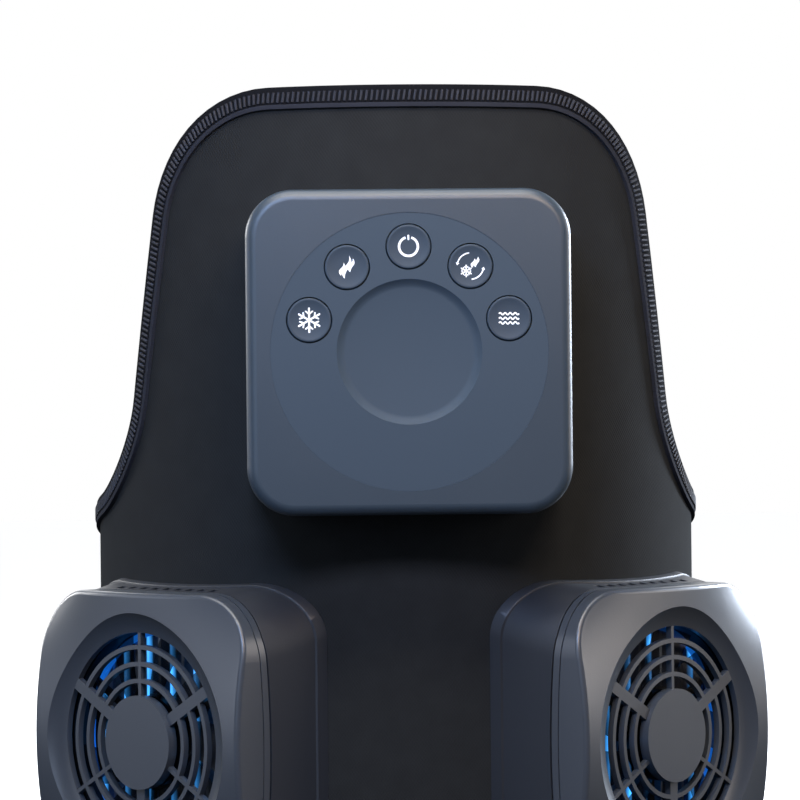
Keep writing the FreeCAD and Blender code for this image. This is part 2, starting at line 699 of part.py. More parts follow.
def slot_outline(inner, outer, start_gap, end_gap, sector):
    """One air slot: a ring's sector whose ends keep straight spokes between neighbours."""
    points = {}
    for key, radius in (("inner", inner), ("outer", outer)):
        first = math.asin(start_gap / radius)
        last = sector - math.asin(end_gap / radius)
        points[key] = [Vector(radius * math.sin(angle), 0, radius * math.cos(angle))
                       for angle in (first, (first + last) / 2, last)]
    a, b, c = points["inner"]
    d, e, f = points["outer"]
    return Part.Wire([Part.Arc(a, b, c).toShape(), Part.LineSegment(c, f).toShape(),
                      Part.Arc(f, e, d).toShape(), Part.LineSegment(d, a).toShape()])


def slot_tools(name):
    """All air slots of a grille: rings crossed by three strong and three thin spokes."""
    ring = size("ring_width")
    span = (size("grille_radius") - size("hub_radius") - RING_COUNT * ring) / (RING_COUNT + 1)
    sector = math.pi / SPOKE_PAIRS
    thin, wide = size("spoke_thin") / 2, size("spoke_wide") / 2
    solids = []
    for ring_number in range(RING_COUNT + 1):
        inner = size("hub_radius") + ring_number * (span + ring)
        for number in range(2 * SPOKE_PAIRS):
            gaps = (thin, wide) if number % 2 == 0 else (wide, thin)
            wire = slot_outline(inner, inner + span, gaps[0], gaps[1], sector)
            solid = Part.Face(wire).extrude(Vector(0, -size("far"), 0))
            solid.rotate(Vector(0, 0, 0), Vector(0, 1, 0), math.degrees(sector) * number)
            solids.append(solid)
    return feature(name, Part.makeCompound(solids))


def make_fan_cover(side):
    """Front cover of a pod: pillowed face, arched rear edge, dished grille of rings and spokes."""
    skin = common(side + "_cover_skin",
                  block(side + "_cover_block", "pod_width", "pod_width", "pod_corner", "near", "pod_face + 2"),
                  pillow(side + "_pillow"))
    doc.recompute()
    rim = doc.addObject("Part::Fillet", side + "_cover_rim")
    rim.Base = skin
    radius = size("pod_rim_round")
    rim.Edges = [(number, radius, radius) for number, edge in enumerate(skin.Shape.Edges, start=1)
                 if all(abs(-point.y - size("pod_face") + pillow_fall(point.x, point.z)) < 0.02
                        for point in edge.discretize(5))]
    hollow = block(side + "_cover_hollow", "pod_width - 2 * pod_wall", "pod_width - 2 * pod_wall",
                   "pod_corner - pod_wall", "near", "pod_face - hollow_roof")
    bowl = rod(side + "_cover_bowl", "grille_radius + 1.3", "near", GRILLE_FRONT + " - grille_thickness")
    cover = cut(side + "_cover", rim, hollow, bowl, behind_seam(side + "_cover_seam", 0), dish_tool(side + "_dish"))
    line = cut(side + "_groove_band", behind_seam(side + "_groove_front", size("groove_setback + groove_width")),
               behind_seam(side + "_groove_back", size("groove_setback")))
    inside = block(side + "_groove_floor", "pod_width - 2 * groove_depth", "pod_width - 2 * groove_depth",
                   "pod_corner - groove_depth", "near", "pod_face + 1")
    slots = cut(side + "_grille", cover, cut(side + "_groove", line, inside), slot_tools(side + "_slots"))
    return node(side + "_fan_cover", slots, pod_place(side))


def make_rear_shell(side):
    """Rear shell of a pod: walls, base flange, floor, fan posts, screw bosses, exhaust slots and tongue."""
    walls = cut(side + "_walls", flared(side + "_wall_outside", "0"), flared(side + "_wall_inside", "-pod_wall"))
    walls = common(side + "_shell_walls", walls, behind_seam(side + "_shell_seam", -size("seam_gap")))
    tongue_side = "pod_width - 2 * pod_wall - 2 * fit_gap"
    tongue = cut(side + "_tongue_ring",
                 block(side + "_tongue_outside", tongue_side, tongue_side, "pod_corner - pod_wall", "near", "pod_face"),
                 block(side + "_tongue_inside", tongue_side + " - 2 * lip_wall", tongue_side + " - 2 * lip_wall",
                       "pod_corner - pod_wall - lip_wall", "near", "pod_face + 1"))
    tongue = common(side + "_tongue", tongue, behind_seam(side + "_tongue_seam", size("lip_rise")))
    root = block(side + "_tongue_root_outside", "pod_width", "pod_width", "pod_corner",
                 SEAM + " - seam_arch - seam_gap - 2 * lip_wall", SEAM + " - seam_arch - seam_gap")
    root = cut(side + "_tongue_root", root,
               block(side + "_tongue_root_inside", tongue_side + " - 2 * lip_wall", tongue_side + " - 2 * lip_wall",
                     "pod_corner - pod_wall - lip_wall", "near", "pod_face + 1"))
    flange = curved_plate(side + "_flange", FLOOR, "%s + floor_thickness" % FLOOR,
                          flared(side + "_flange_outline", "flange_reach"))
    posts = [rod("%s_post_%d" % (side, number), "post_radius", "near", FAN_BACK, across, up)
             for number, (across, up) in enumerate(FAN_POSTS)]
    bosses = [rod("%s_boss_%d" % (side, number), "screw_radius + 1.2", "near", POD_TIP + " + 1", across, up)
              for number, (across, up) in enumerate(POD_SCREWS)]
    vents = []
    for number in range(VENT_COUNT):
        across = "(%s) * vent_pitch" % (number - (VENT_COUNT - 1) / 2)
        vents.append(box("%s_vent_%d" % (side, number), "vent_width", "pod_width + 20",
                         FLOOR + " + floor_thickness + 0.6", FLOOR + " + floor_thickness + 0.6 + vent_depth", across))
    keep_fan = block(side + "_vent_guard", "fan_side", "pod_width - 2 * pod_wall - 4", "fan_corner", "near", "far")
    vent_tool = cut(side + "_vent_tool", fuse(side + "_vents", *vents), keep_fan)
    whole = fuse(side + "_shell", walls, tongue, root, flange, *(posts + bosses))
    shell = cut(side + "_shell_open", whole, drum(side + "_saddle", FLOOR), vent_tool,
                block(side + "_sink_window", "sink_side + 1.2", "sink_side + 1.2", "plate_corner", "near", FAN_BACK),
                *(screw_ways(side + "_shell_ways", POD_HEAD, POD_TIP, POD_SCREWS)
                  + [rod("%s_fan_bore_%d" % (side, number), "screw_radius", FAN_BACK + " - 3", FAN_BACK + " + 1",
                         across, up) for number, (across, up) in enumerate(FAN_POSTS)]))
    return node(side + "_rear_shell", shell, pod_place(side))


def make_cooler(side):
    """The stack that heats or cools: clamp frame, cold plate, tile, foam frame and heat sink."""
    place = pod_place(side)
    frame = curved_plate(side + "_clamp_plate", "leg_radius + plate_inset", "leg_radius + lining_thickness",
                         block(side + "_clamp_outline", "clamp_side", "clamp_side", "clamp_corner", "near", "far"))
    frame = cut(side + "_clamp", frame,
                block(side + "_clamp_window", "plate_side + 6 * fit_gap", "plate_side + 6 * fit_gap", "plate_corner",
                      "near", "far"),
                *screw_ways(side + "_clamp_ways", POD_HEAD, POD_TIP, POD_SCREWS))
    node(side + "_clamp_frame", frame, place)
    node(side + "_pod_screws", screws(side + "_clamp_screws", POD_HEAD, POD_TIP, POD_SCREWS), place)
    plate = cut(side + "_plate",
                block(side + "_plate_block", "plate_side", "plate_side", "plate_corner", "near",
                      "leg_radius + plate_inset + plate_depth"),
                drum(side + "_plate_face", "leg_radius + plate_inset"))
    node(side + "_cold_plate", plate, place)
    tile_back = "leg_radius + plate_inset + plate_depth"
    node(side + "_thermal_tile", box(side + "_tile", "tile_side", "tile_side", tile_back, SINK_BACK), None)
    moved = group(side + "_tile_place", nodes[side + "_thermal_tile"])
    nodes[side + "_thermal_tile"].Label = side + "_tile_block"
    node(side + "_thermal_tile", moved, place)
    foam = cut(side + "_foam",
               block(side + "_foam_block", "foam_side", "foam_side", "plate_corner", tile_back, SINK_BACK),
               box(side + "_foam_window", "tile_side + 0.6", "tile_side + 0.6", "near", "far"))
    node(side + "_foam_frame", foam, place)
    make_heat_sink(side, place)


def front_sketch(body, name, start):
    """A sketch in the body's XZ plane, moved outwards to a distance from the leg's axis."""
    sketch = body.newObject("Sketcher::SketchObject", name)
    plane = [item for item in body.Origin.OriginFeatures if item.Role == "XZ_Plane"][0]
    sketch.AttachmentSupport = (plane, [""])
    sketch.MapMode = "FlatFace"
    sketch.setExpression("AttachmentOffset.Base.z", tied(start))
    return sketch


def rectangle(sketch, width, height, across="0"):
    """A plain rectangle on the sketch, centred at a distance along its own X."""
    half_w, half_h, x = size(width) / 2, size(height) / 2, size(across)
    corners = [Vector(x - half_w, -half_h, 0), Vector(x + half_w, -half_h, 0),
               Vector(x + half_w, half_h, 0), Vector(x - half_w, half_h, 0)]
    sketch.addGeometry([Part.LineSegment(corners[side], corners[(side + 1) % 4]) for side in range(4)], False)
    for side in range(4):
        sketch.addConstraint(Sketcher.Constraint("Coincident", side, 2, (side + 1) % 4, 1))
    sketch.addConstraint(Sketcher.Constraint("Horizontal", 0))
    sketch.addConstraint(Sketcher.Constraint("Vertical", 1))
    sketch.addConstraint(Sketcher.Constraint("Horizontal", 2))
    sketch.addConstraint(Sketcher.Constraint("Symmetric", 0, 1, 3, 1, -1))
    for name, constraint, expression in (
            ("width", Sketcher.Constraint("DistanceX", 0, 1, 0, 2, 2 * half_w), width),
            ("height", Sketcher.Constraint("DistanceY", 1, 1, 1, 2, 2 * half_h), height),
            ("left", Sketcher.Constraint("DistanceX", 0, 1, -1, 1, half_w - x), "(%s) / 2 - (%s)" % (width, across))):
        index = sketch.addConstraint(constraint)
        sketch.renameConstraint(index, name)
        sketch.setExpression("Constraints." + name, tied(expression))


def make_heat_sink(side, place):
    """A base plate with upright fins, so that the air leaves at the top and the bottom."""
    body = doc.addObject("PartDesign::Body", side + "_heat_sink_body")
    base_sketch = front_sketch(body, side + "_sink_base_outline", SINK_BACK)
    rectangle(base_sketch, "sink_side", "sink_side")
    base = body.newObject("PartDesign::Pad", side + "_sink_base")
    base.Profile = base_sketch
    bind(base, Length="sink_base")
    fin_sketch = front_sketch(body, side + "_fin_outline", SINK_BACK + " + sink_base")
    first = "-fin_pitch * %s" % ((FIN_COUNT - 1) / 2)
    rectangle(fin_sketch, "fin_width", "sink_side", first)
    fin = body.newObject("PartDesign::Pad", side + "_fin")
    fin.Profile = fin_sketch
    bind(fin, Length="fin_rise")
    fins = body.newObject("PartDesign::LinearPattern", side + "_fins")
    fins.Originals = [fin]
    fins.Direction = (fin_sketch, ["H_Axis"])
    fins.Occurrences = FIN_COUNT
    bind(fins, Length="fin_pitch * %d" % (FIN_COUNT - 1))
    body.Tip = fins
    return node(side + "_heat_sink", body, place)


def make_fan(side):
    """Light ring, fan frame with its spider, motor and the rotor that turns on it."""
    place = pod_place(side)
    ring = cut(side + "_ring", rod(side + "_ring_outside", "ring_outer", FIN_TOP + " + 0.2", FAN_BACK),
               rod(side + "_ring_inside", "ring_inner", "near", "far"))
    node(side + "_light_ring", ring, place)
    body = cut(side + "_fan_body",
               block(side + "_fan_block", "fan_side", "fan_side", "fan_corner", FAN_BACK, FAN_FRONT),
               rod(side + "_fan_way", "fan_bore", "near", "far"))
    motor_back = FAN_BACK + " + arm_thickness"
    spider = [rod(side + "_spider_hub", "motor_radius", FAN_BACK, motor_back)]
    for number in range(3):
        arm = box("%s_arm_%d" % (side, number), "arm_width", "fan_bore + 0.5", FAN_BACK, motor_back,
                  "0", "fan_bore / 2 + 0.25")
        holder = group("%s_arm_place_%d" % (side, number), arm)
        holder.Placement = Placement(Vector(0, 0, 0), Rotation(Vector(0, 1, 0), 60 + 120 * number))
        spider.append(holder)
    frame = cut(side + "_frame_open", fuse(side + "_frame_whole", body, *spider),
                rod(side + "_spider_bore", "shaft_radius + 0.5", "near", "far"),
                *[rod("%s_ear_bore_%d" % (side, number), "screw_radius + fit_gap / 2", "near", "far", across, up)
                  for number, (across, up) in enumerate(FAN_POSTS)],
                *[rod("%s_ear_sink_%d" % (side, number), "head_radius + fit_gap", FAN_FRONT + " - head_rise", "far",
                      across, up) for number, (across, up) in enumerate(FAN_POSTS)])
    node(side + "_fan_frame", frame, place)
    fan_screws = []
    for number, (across, up) in enumerate(FAN_POSTS):
        fan_screws.append(fuse("%s_fan_screw_%d" % (side, number),
                               rod("%s_fan_head_%d" % (side, number), "head_radius", FAN_FRONT + " - head_rise",
                                   FAN_FRONT, across, up),
                               rod("%s_fan_shank_%d" % (side, number), "screw_radius - fit_gap / 2",
                                   FAN_BACK + " - 2.9", FAN_FRONT + " - head_rise", across, up)))
    node(side + "_fan_screws", group(side + "_fan_screw_set", *fan_screws), place)
    motor = cut(side + "_motor", rod(side + "_motor_body", "motor_radius", motor_back, motor_back + " + motor_length"),
                rod(side + "_motor_bore", "shaft_radius + shaft_clearance", "near", "far"))
    node(side + "_fan_motor", motor, place)
    node(side + "_fan_rotor", feature(side + "_rotor", rotor_shape()), place)


def rotor_shape():
    """Rotor: a cup over the motor with its shaft, and swept blades round it."""
    gap, inset, lid = size("rotor_gap"), size("blade_inset"), size("rotor_lid")
    back, front = size(FAN_BACK + " + arm_thickness") + gap, size(FAN_FRONT) - gap
    cup, wall, tip = size("cup_radius"), size("cup_wall"), size("blade_radius")
    out = Vector(0, -1, 0)
    rotor = Part.makeCylinder(cup, front - back, Vector(0, -back, 0), out)
    rotor = rotor.cut(Part.makeCylinder(cup - wall, front - back - lid, Vector(0, -back, 0), out))
    shaft_end = size(FAN_BACK) + gap
    rotor = rotor.fuse(Part.makeCylinder(size("shaft_radius"), front - lid / 2 - shaft_end,
                                         Vector(0, -shaft_end, 0), out))
    blade_back, blade_front = back + inset, front - inset
    thickness = size("blade_thickness")
    sections = []
    for radius, sweep, chord in ((cup - 0.6, 0.0, 7.0), ((cup + tip) / 2, 3.0, 10.0), (tip, 8.0, 13.0)):
        low = Vector(sweep - chord / 2, -blade_back, radius)
        high = Vector(sweep + chord / 2, -blade_front, radius)
        bow = Vector(sweep + chord * 0.08, -(blade_back + blade_front) / 2 - 0.5, radius)
        lift = Vector(0, thickness, 0)
        sections.append(Part.Wire([Part.Arc(low, bow, high).toShape(),
                                   Part.LineSegment(high, high + lift).toShape(),
                                   Part.Arc(high + lift, bow + lift, low + lift).toShape(),
                                   Part.LineSegment(low + lift, low).toShape()]))
    blade = Part.makeLoft(sections, True, False)
    room = Part.makeCylinder(tip, front - back, Vector(0, -back, 0), out)
    blade = blade.common(room).cut(Part.makeCylinder(cup - 0.5, size("far"), Vector(0, 0, 0), out))
    for number in range(BLADE_COUNT):
        turned = blade.copy()
        turned.rotate(Vector(0, 0, 0), Vector(0, 1, 0), 360 / BLADE_COUNT * number)
        rotor = rotor.fuse(turned)
    return rotor


# ---- control unit ---------------------------------------------------------------------------

ROOF = "unit_face - unit_roof"
INLAY_FRONT = "unit_face - inlay_setback"
BOARD_FRONT = "board_back + board_thickness"
CASE_POSTS = four_corners("case_post_reach", "case_post_reach")
UNIT_FLOOR = "wrap_radius + fit_gap"


def button_spot(number):
    """The centre of a button, as expressions: across and up from the unit's centre."""
    turn = number - (len(BUTTONS) - 1) / 2
    return ("button_circle * sin(%s * button_pitch * 1 deg)" % turn,
            "button_circle * cos(%s * button_pitch * 1 deg)" % turn)


def button_holes(name, radius, start, end):
    return [rod("%s_%d" % (name, number), radius, start, end, *button_spot(number))
            for number in range(len(BUTTONS))]


def make_control_case():
    """Rear case: walls, saddle floor, posts for the board, bosses for the backing screws, motor cradle."""
    walls = cut("case_walls",
                block("case_outside", "unit_width", "unit_width", "unit_corner", "near", "unit_seam"),
                block("case_inside", "unit_width - 2 * unit_wall", "unit_width - 2 * unit_wall",
                      "unit_corner - unit_wall", "near", "unit_seam + 1"))
    floor = curved_plate("case_floor", UNIT_FLOOR, UNIT_FLOOR + " + unit_floor",
                         block("case_floor_outline", "unit_width", "unit_width", "unit_corner", "near", "far"))
    posts = [rod("case_post_%d" % number, "case_post_radius", "near", "board_back", across, up)
             for number, (across, up) in enumerate(CASE_POSTS)]
    bosses = [rod("case_boss_%d" % number, "screw_radius + 1.3", "near", UNIT_TIP + " + 1", across, up)
              for number, (across, up) in enumerate(UNIT_SCREWS)]
    cradle = cut("cradle", box("cradle_block", "2 * buzzer_radius", "buzzer_length - 5", "near",
                               "motor_from_axis - buzzer_radius / 2", "motor_across", "-buzzer_length / 2 + 1"),
                 drum("cradle_seat", "buzzer_radius + fit_gap", "motor_across", "motor_from_axis"))
    case = cut("case", fuse("case_whole", walls, floor, cradle, *(posts + bosses)),
               drum("case_saddle", UNIT_FLOOR),
               box("port_way", "port_width + 4 * fit_gap", "20", "port_from_axis - port_depth / 2 - 2 * fit_gap",
                   "port_from_axis + port_depth / 2 + 2 * fit_gap", "0", "-unit_width / 2"),
               *(screw_ways("case_ways", UNIT_HEAD, UNIT_TIP, UNIT_SCREWS)
                 + [rod("case_long_bore_%d" % number, "screw_radius + fit_gap / 2", "near", "far", across, up)
                    for number, (across, up) in enumerate(CASE_POSTS)]
                 + [rod("case_head_room_%d" % number, "head_radius + fit_gap", "near", "unit_seam - 11", across, up)
                    for number, (across, up) in enumerate(CASE_POSTS)]
                 + [box("case_lead_slot_%d" % sign, "lead_width + 1", "3", "near", UNIT_FLOOR + " + unit_floor + 2",
                        "%d * lead_across * 0.95" % sign, "lead_up - 2 - unit_height") for sign in (-1, 1)]))
    return node("control_case", case, UNIT_PLACE)


def make_control_cover():
    """Front cover: round pocket for the inlay, five button holes, bosses that hold the board down."""
    skin = block("cover_block", "unit_width", "unit_width", "unit_corner", "unit_seam", "unit_face")
    doc.recompute()
    rim = doc.addObject("Part::Fillet", "cover_rim")
    rim.Base = skin
    radius = size("unit_rim_round")
    rim.Edges = [(number, radius, radius) for number, edge in enumerate(skin.Shape.Edges, start=1)
                 if abs(edge.BoundBox.YMax + size("unit_face")) < 1e-6]
    hollow = block("cover_hollow", "unit_width - 2 * unit_wall", "unit_width - 2 * unit_wall",
                   "unit_corner - unit_wall", "near", ROOF)
    pocket = rod("inlay_pocket", "inlay_radius + fit_gap", INLAY_FRONT + " - inlay_thickness", "unit_face + 5")
    open_cover = cut("cover_open", rim, hollow, pocket)
    bosses = [rod("cover_boss_%d" % number, "case_post_radius", BOARD_FRONT, ROOF + " + 0.2", across, up)
              for number, (across, up) in enumerate(CASE_POSTS)]
    cover = cut("cover", fuse("cover_whole", open_cover, *bosses),
                *(button_holes("cover_hole", "button_radius + button_clearance", "near", "far")
                  + [rod("cover_bore_%d" % number, "screw_radius + fit_gap / 2", "near", ROOF + " - 0.4", across, up)
                     for number, (across, up) in enumerate(CASE_POSTS)]))
    return node("control_cover", cover, UNIT_PLACE)


def make_inlay():
    """Round face inlay with a soft shallow recess in the middle."""
    front, back = size(INLAY_FRONT), size(INLAY_FRONT + " - inlay_thickness")
    rim, flat, floor = size("recess_rim"), size("recess_flat"), size(INLAY_FRONT + " - recess_depth")
    edge = size("inlay_radius")
    bend = Vector(flat + (rim - flat) * 0.62, -floor - (front - floor) * 0.38, 0)
    wire = Part.Wire([Part.LineSegment(Vector(0, -back, 0), Vector(edge, -back, 0)).toShape(),
                      Part.LineSegment(Vector(edge, -back, 0), Vector(edge, -front, 0)).toShape(),
                      Part.LineSegment(Vector(edge, -front, 0), Vector(rim, -front, 0)).toShape(),
                      Part.Arc(Vector(rim, -front, 0), bend, Vector(flat, -floor, 0)).toShape(),
                      Part.LineSegment(Vector(flat, -floor, 0), Vector(0, -floor, 0)).toShape(),
                      Part.LineSegment(Vector(0, -floor, 0), Vector(0, -back, 0)).toShape()])
    disc = feature("inlay_disc", Part.Face(wire).revolve(Vector(0, 0, 0), Vector(0, 1, 0), 360))
    inlay = cut("inlay", disc, *button_holes("inlay_hole", "button_radius + button_clearance", "near", "far"))
    return node("face_inlay", inlay, UNIT_PLACE)


def make_buttons():
    """Five push buttons: dished cap, flange behind the cover, stem over its switch."""
    lip = ROOF + " - 0.2"
    stem_end = BOARD_FRONT + " + switch_rise + plunger_rise + button_travel + 0.15"
    ball = "(button_radius * button_radius) / (2 * button_dish)"
    for number, name in enumerate(BUTTONS):
        across, up = button_spot(number)
        body = fuse(name + "_body",
                    rod(name + "_cap", "button_radius", lip + " - 0.5", INLAY_FRONT, across, up),
                    rod(name + "_flange", "button_flange", lip + " - 1", lip, across, up),
                    rod(name + "_stem", "2", stem_end, lip, across, up))
        finger_hollow = doc.addObject("Part::Sphere", name + "_hollow")
        bind(finger_hollow, Radius=ball, Placement__Base__x=across, Placement__Base__z=up,
             Placement__Base__y="-(%s + %s - button_dish)" % (INLAY_FRONT, ball))
        node(name + "_button", cut(name + "_dished", body, finger_hollow), UNIT_PLACE)


def make_electronics():
    """Board, key switches, battery, vibration motor with its weight, charging port."""
    board = cut("board", block("board_block", "board_side", "board_side", "6", "board_back", BOARD_FRONT),
                *[rod("board_hole_%d" % number, "screw_radius + fit_gap", "near", "far", across, up)
                  for number, (across, up) in enumerate(CASE_POSTS)])
    node("circuit_board", board, UNIT_PLACE)
    switches = []
    for number in range(len(BUTTONS)):
        across, up = button_spot(number)
        housing = box("switch_%d" % number, "switch_side", "switch_side", BOARD_FRONT, BOARD_FRONT + " + switch_rise",
                      across, up)
        plunger = rod("plunger_%d" % number, "1.6", BOARD_FRONT + " + switch_rise",
                      BOARD_FRONT + " + switch_rise + plunger_rise", across, up)
        switches.append(fuse("key_switch_%d" % number, housing, plunger))
    node("key_switches", group("switches", *switches), UNIT_PLACE)
    crest = UNIT_FLOOR + " + unit_floor + 2 * fit_gap"
    node("battery_pack", block("battery", "battery_width", "battery_height", "3", crest, crest + " + battery_depth"),
         None)
    moved = group("battery_place", nodes["battery_pack"])
    nodes["battery_pack"].Label = "battery_block"
    node("battery_pack", moved, UNIT_PLACE)
    shaft = size("shaft_radius") * 0.6
    length = size("buzzer_length")
    across, out = size("motor_across"), -size("motor_from_axis")
    up = Vector(0, 0, 1)
    bore = shaft + size("shaft_clearance")
    motor = Part.makeCylinder(size("buzzer_radius"), length, Vector(across, out, -length + 2), up)
    motor = motor.cut(Part.makeCylinder(bore, 3, Vector(across, out, -1), up))
    node("vibration_motor", feature("buzzer", motor), UNIT_PLACE)
    gap = 0.6
    weight = Part.makeCylinder(size("weight_radius"), size("weight_length"), Vector(across, out, 2 + gap), up,
                               180)
    weight = weight.fuse(Part.makeCylinder(shaft * 2, size("weight_length"), Vector(across, out, 2 + gap), up))
    weight = weight.fuse(Part.makeCylinder(shaft, 2 + gap + 0.8 + size("weight_length"),
                                           Vector(across, out, -0.8), up))
    node("vibration_weight", feature("weight", weight), UNIT_PLACE)
    low = -size("unit_width") / 2 + 0.4
    wall = 0.4
    wide, deep, tall = size("port_width"), size("port_depth"), size("port_length")
    centre = Vector(0, -size("port_from_axis"), low)

    def bar(width, depth, height, rise):
        solid = Part.makeBox(width, depth, height, centre + Vector(-width / 2, -depth / 2, rise))
        return solid.makeFillet(depth * 0.45, [edge for edge in solid.Edges
                                               if abs(edge.tangentAt(edge.FirstParameter).z) > 0.9])

    port = bar(wide, deep, tall, 0).cut(bar(wide - 2 * wall, deep - 2 * wall, tall, -1))
    port = port.fuse(bar(wide * 0.7, 0.7, tall - 1, 0.8))
    node("charge_port", feature("port", port), UNIT_PLACE)
    long_screws = []
    for number, (across_text, up_text) in enumerate(CASE_POSTS):
        head_end = "unit_seam - 11 - head_rise"
        long_screws.append(fuse("long_screw_%d" % number,
                                rod("long_head_%d" % number, "head_radius", head_end, "unit_seam - 11",
                                    across_text, up_text),
                                rod("long_shank_%d" % number, "screw_radius", "unit_seam - 11", ROOF + " - 0.6",
                                    across_text, up_text)))
    node("control_screws", group("long_screws", *long_screws), UNIT_PLACE)


def make_backing():
    """Backing plate between lining and neoprene, and the screws that hold the control unit to it."""
    inner = "leg_radius + lining_thickness + fit_gap / 2"
    plate = curved_plate("backing", inner, "leg_radius + lining_thickness + backing_thickness",
                         block("backing_outline", "backing_width", "backing_height", "4", "near", "far"))
    plate = cut("backing_open", plate, *screw_ways("backing_ways", UNIT_HEAD, UNIT_TIP, UNIT_SCREWS))
    node("backing_plate", plate, UNIT_PLACE)
    node("backing_screws", screws("backing_screw", UNIT_HEAD, UNIT_TIP, UNIT_SCREWS), UNIT_PLACE)


# ---- build, check and write -----------------------------------------------------------------

make_wrap()
make_leads()
make_straps()
for pod_side in SIDES:
    make_fan_cover(pod_side)
    make_rear_shell(pod_side)
    make_cooler(pod_side)
    make_fan(pod_side)
make_control_case()
make_control_cover()
make_inlay()
make_buttons()
make_electronics()
make_backing()
doc.recompute()

failed = [thing.Label for thing in doc.Objects if "Invalid" in thing.State or "Error" in thing.State]
if failed:
    raise RuntimeError("objects that failed: %s" % ", ".join(failed))
os.makedirs("parts", exist_ok=True)
for name, thing in nodes.items():
    if thing.Shape.isNull() or not thing.Shape.isValid() or not thing.Shape.Solids:
        raise RuntimeError("%s has no valid solid" % name)
for name, thing in nodes.items():
    thing.Shape.exportStep("parts/%s.step" % name)
    print("%-22s %2d solid %9.1f mm3" % (name, len(thing.Shape.Solids), thing.Shape.Volume))
print(len(nodes), "nodes")
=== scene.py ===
import bmesh
import bpy
import math
from mathutils import Matrix, Vector


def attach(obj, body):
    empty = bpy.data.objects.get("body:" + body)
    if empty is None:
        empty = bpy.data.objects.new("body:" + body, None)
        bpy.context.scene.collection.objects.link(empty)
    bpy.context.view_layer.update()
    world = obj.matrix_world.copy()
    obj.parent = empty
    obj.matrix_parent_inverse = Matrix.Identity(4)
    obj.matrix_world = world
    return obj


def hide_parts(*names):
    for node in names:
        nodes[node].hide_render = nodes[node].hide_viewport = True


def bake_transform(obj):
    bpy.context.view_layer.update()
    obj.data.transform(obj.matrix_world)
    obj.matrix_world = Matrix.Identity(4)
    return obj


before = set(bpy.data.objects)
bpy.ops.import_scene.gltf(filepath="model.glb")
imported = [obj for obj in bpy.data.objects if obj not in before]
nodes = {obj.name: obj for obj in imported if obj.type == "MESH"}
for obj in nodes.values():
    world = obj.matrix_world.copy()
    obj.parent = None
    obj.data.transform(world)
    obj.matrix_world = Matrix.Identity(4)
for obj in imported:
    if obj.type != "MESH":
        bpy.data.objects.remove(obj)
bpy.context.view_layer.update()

# camera: level, a metre from the leg's axis, a touch left of the front
camera = {"distance": 1.0, "height": 0.155, "turn": -2.15, "roll": -0.58, "aimRight": 0.0834, "lens": 170.0,
          "near": 0.05, "far": 20}


def placeCamera():
    turn = math.radians(camera["turn"])
    eye = Vector((math.sin(turn), -math.cos(turn), 0)) * camera["distance"]
    eye.z = camera["height"]
    aim = Matrix.Rotation(-math.radians(camera["aimRight"]), 3, "Z")
    forward = aim @ Vector((-math.sin(turn), math.cos(turn), 0))
    right = forward.cross(Vector((0, 0, 1))).normalized()
    up = right.cross(forward)
    roll = math.radians(-camera["roll"])
    across = right * math.cos(roll) - up * math.sin(roll)
    upwards = up * math.cos(roll) + right * math.sin(roll)
    data = bpy.data.cameras.new("camera")
    data.lens = camera["lens"]
    data.clip_start = camera["near"]
    data.clip_end = camera["far"]
    obj = bpy.data.objects.new("camera", data)
    obj.matrix_world = Matrix((across, upwards, -forward)).transposed().to_4x4()
    obj.location = eye
    bpy.context.scene.collection.objects.link(obj)
    bpy.context.scene.camera = obj


placeCamera()
print("camera placed")


# "4a5866" as Blender's linear values
def linear(text):
    parts = [int(text[i:i + 2], 16) / 255 for i in (0, 2, 4)]
    return [c / 12.92 if c <= 0.04045 else ((c + 0.055) / 1.055) ** 2.4 for c in parts] + [1.0]


# a socket that takes part in sums; each sum adds a Math node
class Wire:
    def __init__(self, finish, socket):
        self.finish = finish
        self.socket = socket

    def maths(self, kind, *others):
        sockets = dict(enumerate((self,) + others))
        return Wire(self.finish, self.finish.node("ShaderNodeMath", {"operation": kind}, sockets).outputs[0])

    def __add__(self, other):
        return self.maths("ADD", other)

    __radd__ = __add__

    def __mul__(self, other):
        return self.maths("MULTIPLY", other)

    __rmul__ = __mul__

    def __sub__(self, other):
        return self.maths("SUBTRACT", other)

    def __rsub__(self, other):
        return self * -1 + other

    def sine(self):
        return self.maths("SINE")

    def power(self, other):
        return self.maths("POWER", other)

    def clamp(self):
        return self.maths("MAXIMUM", 0.0).maths("MINIMUM", 1.0)


flatUnit = 100       # mm of a flat pattern to one unit of its UV map


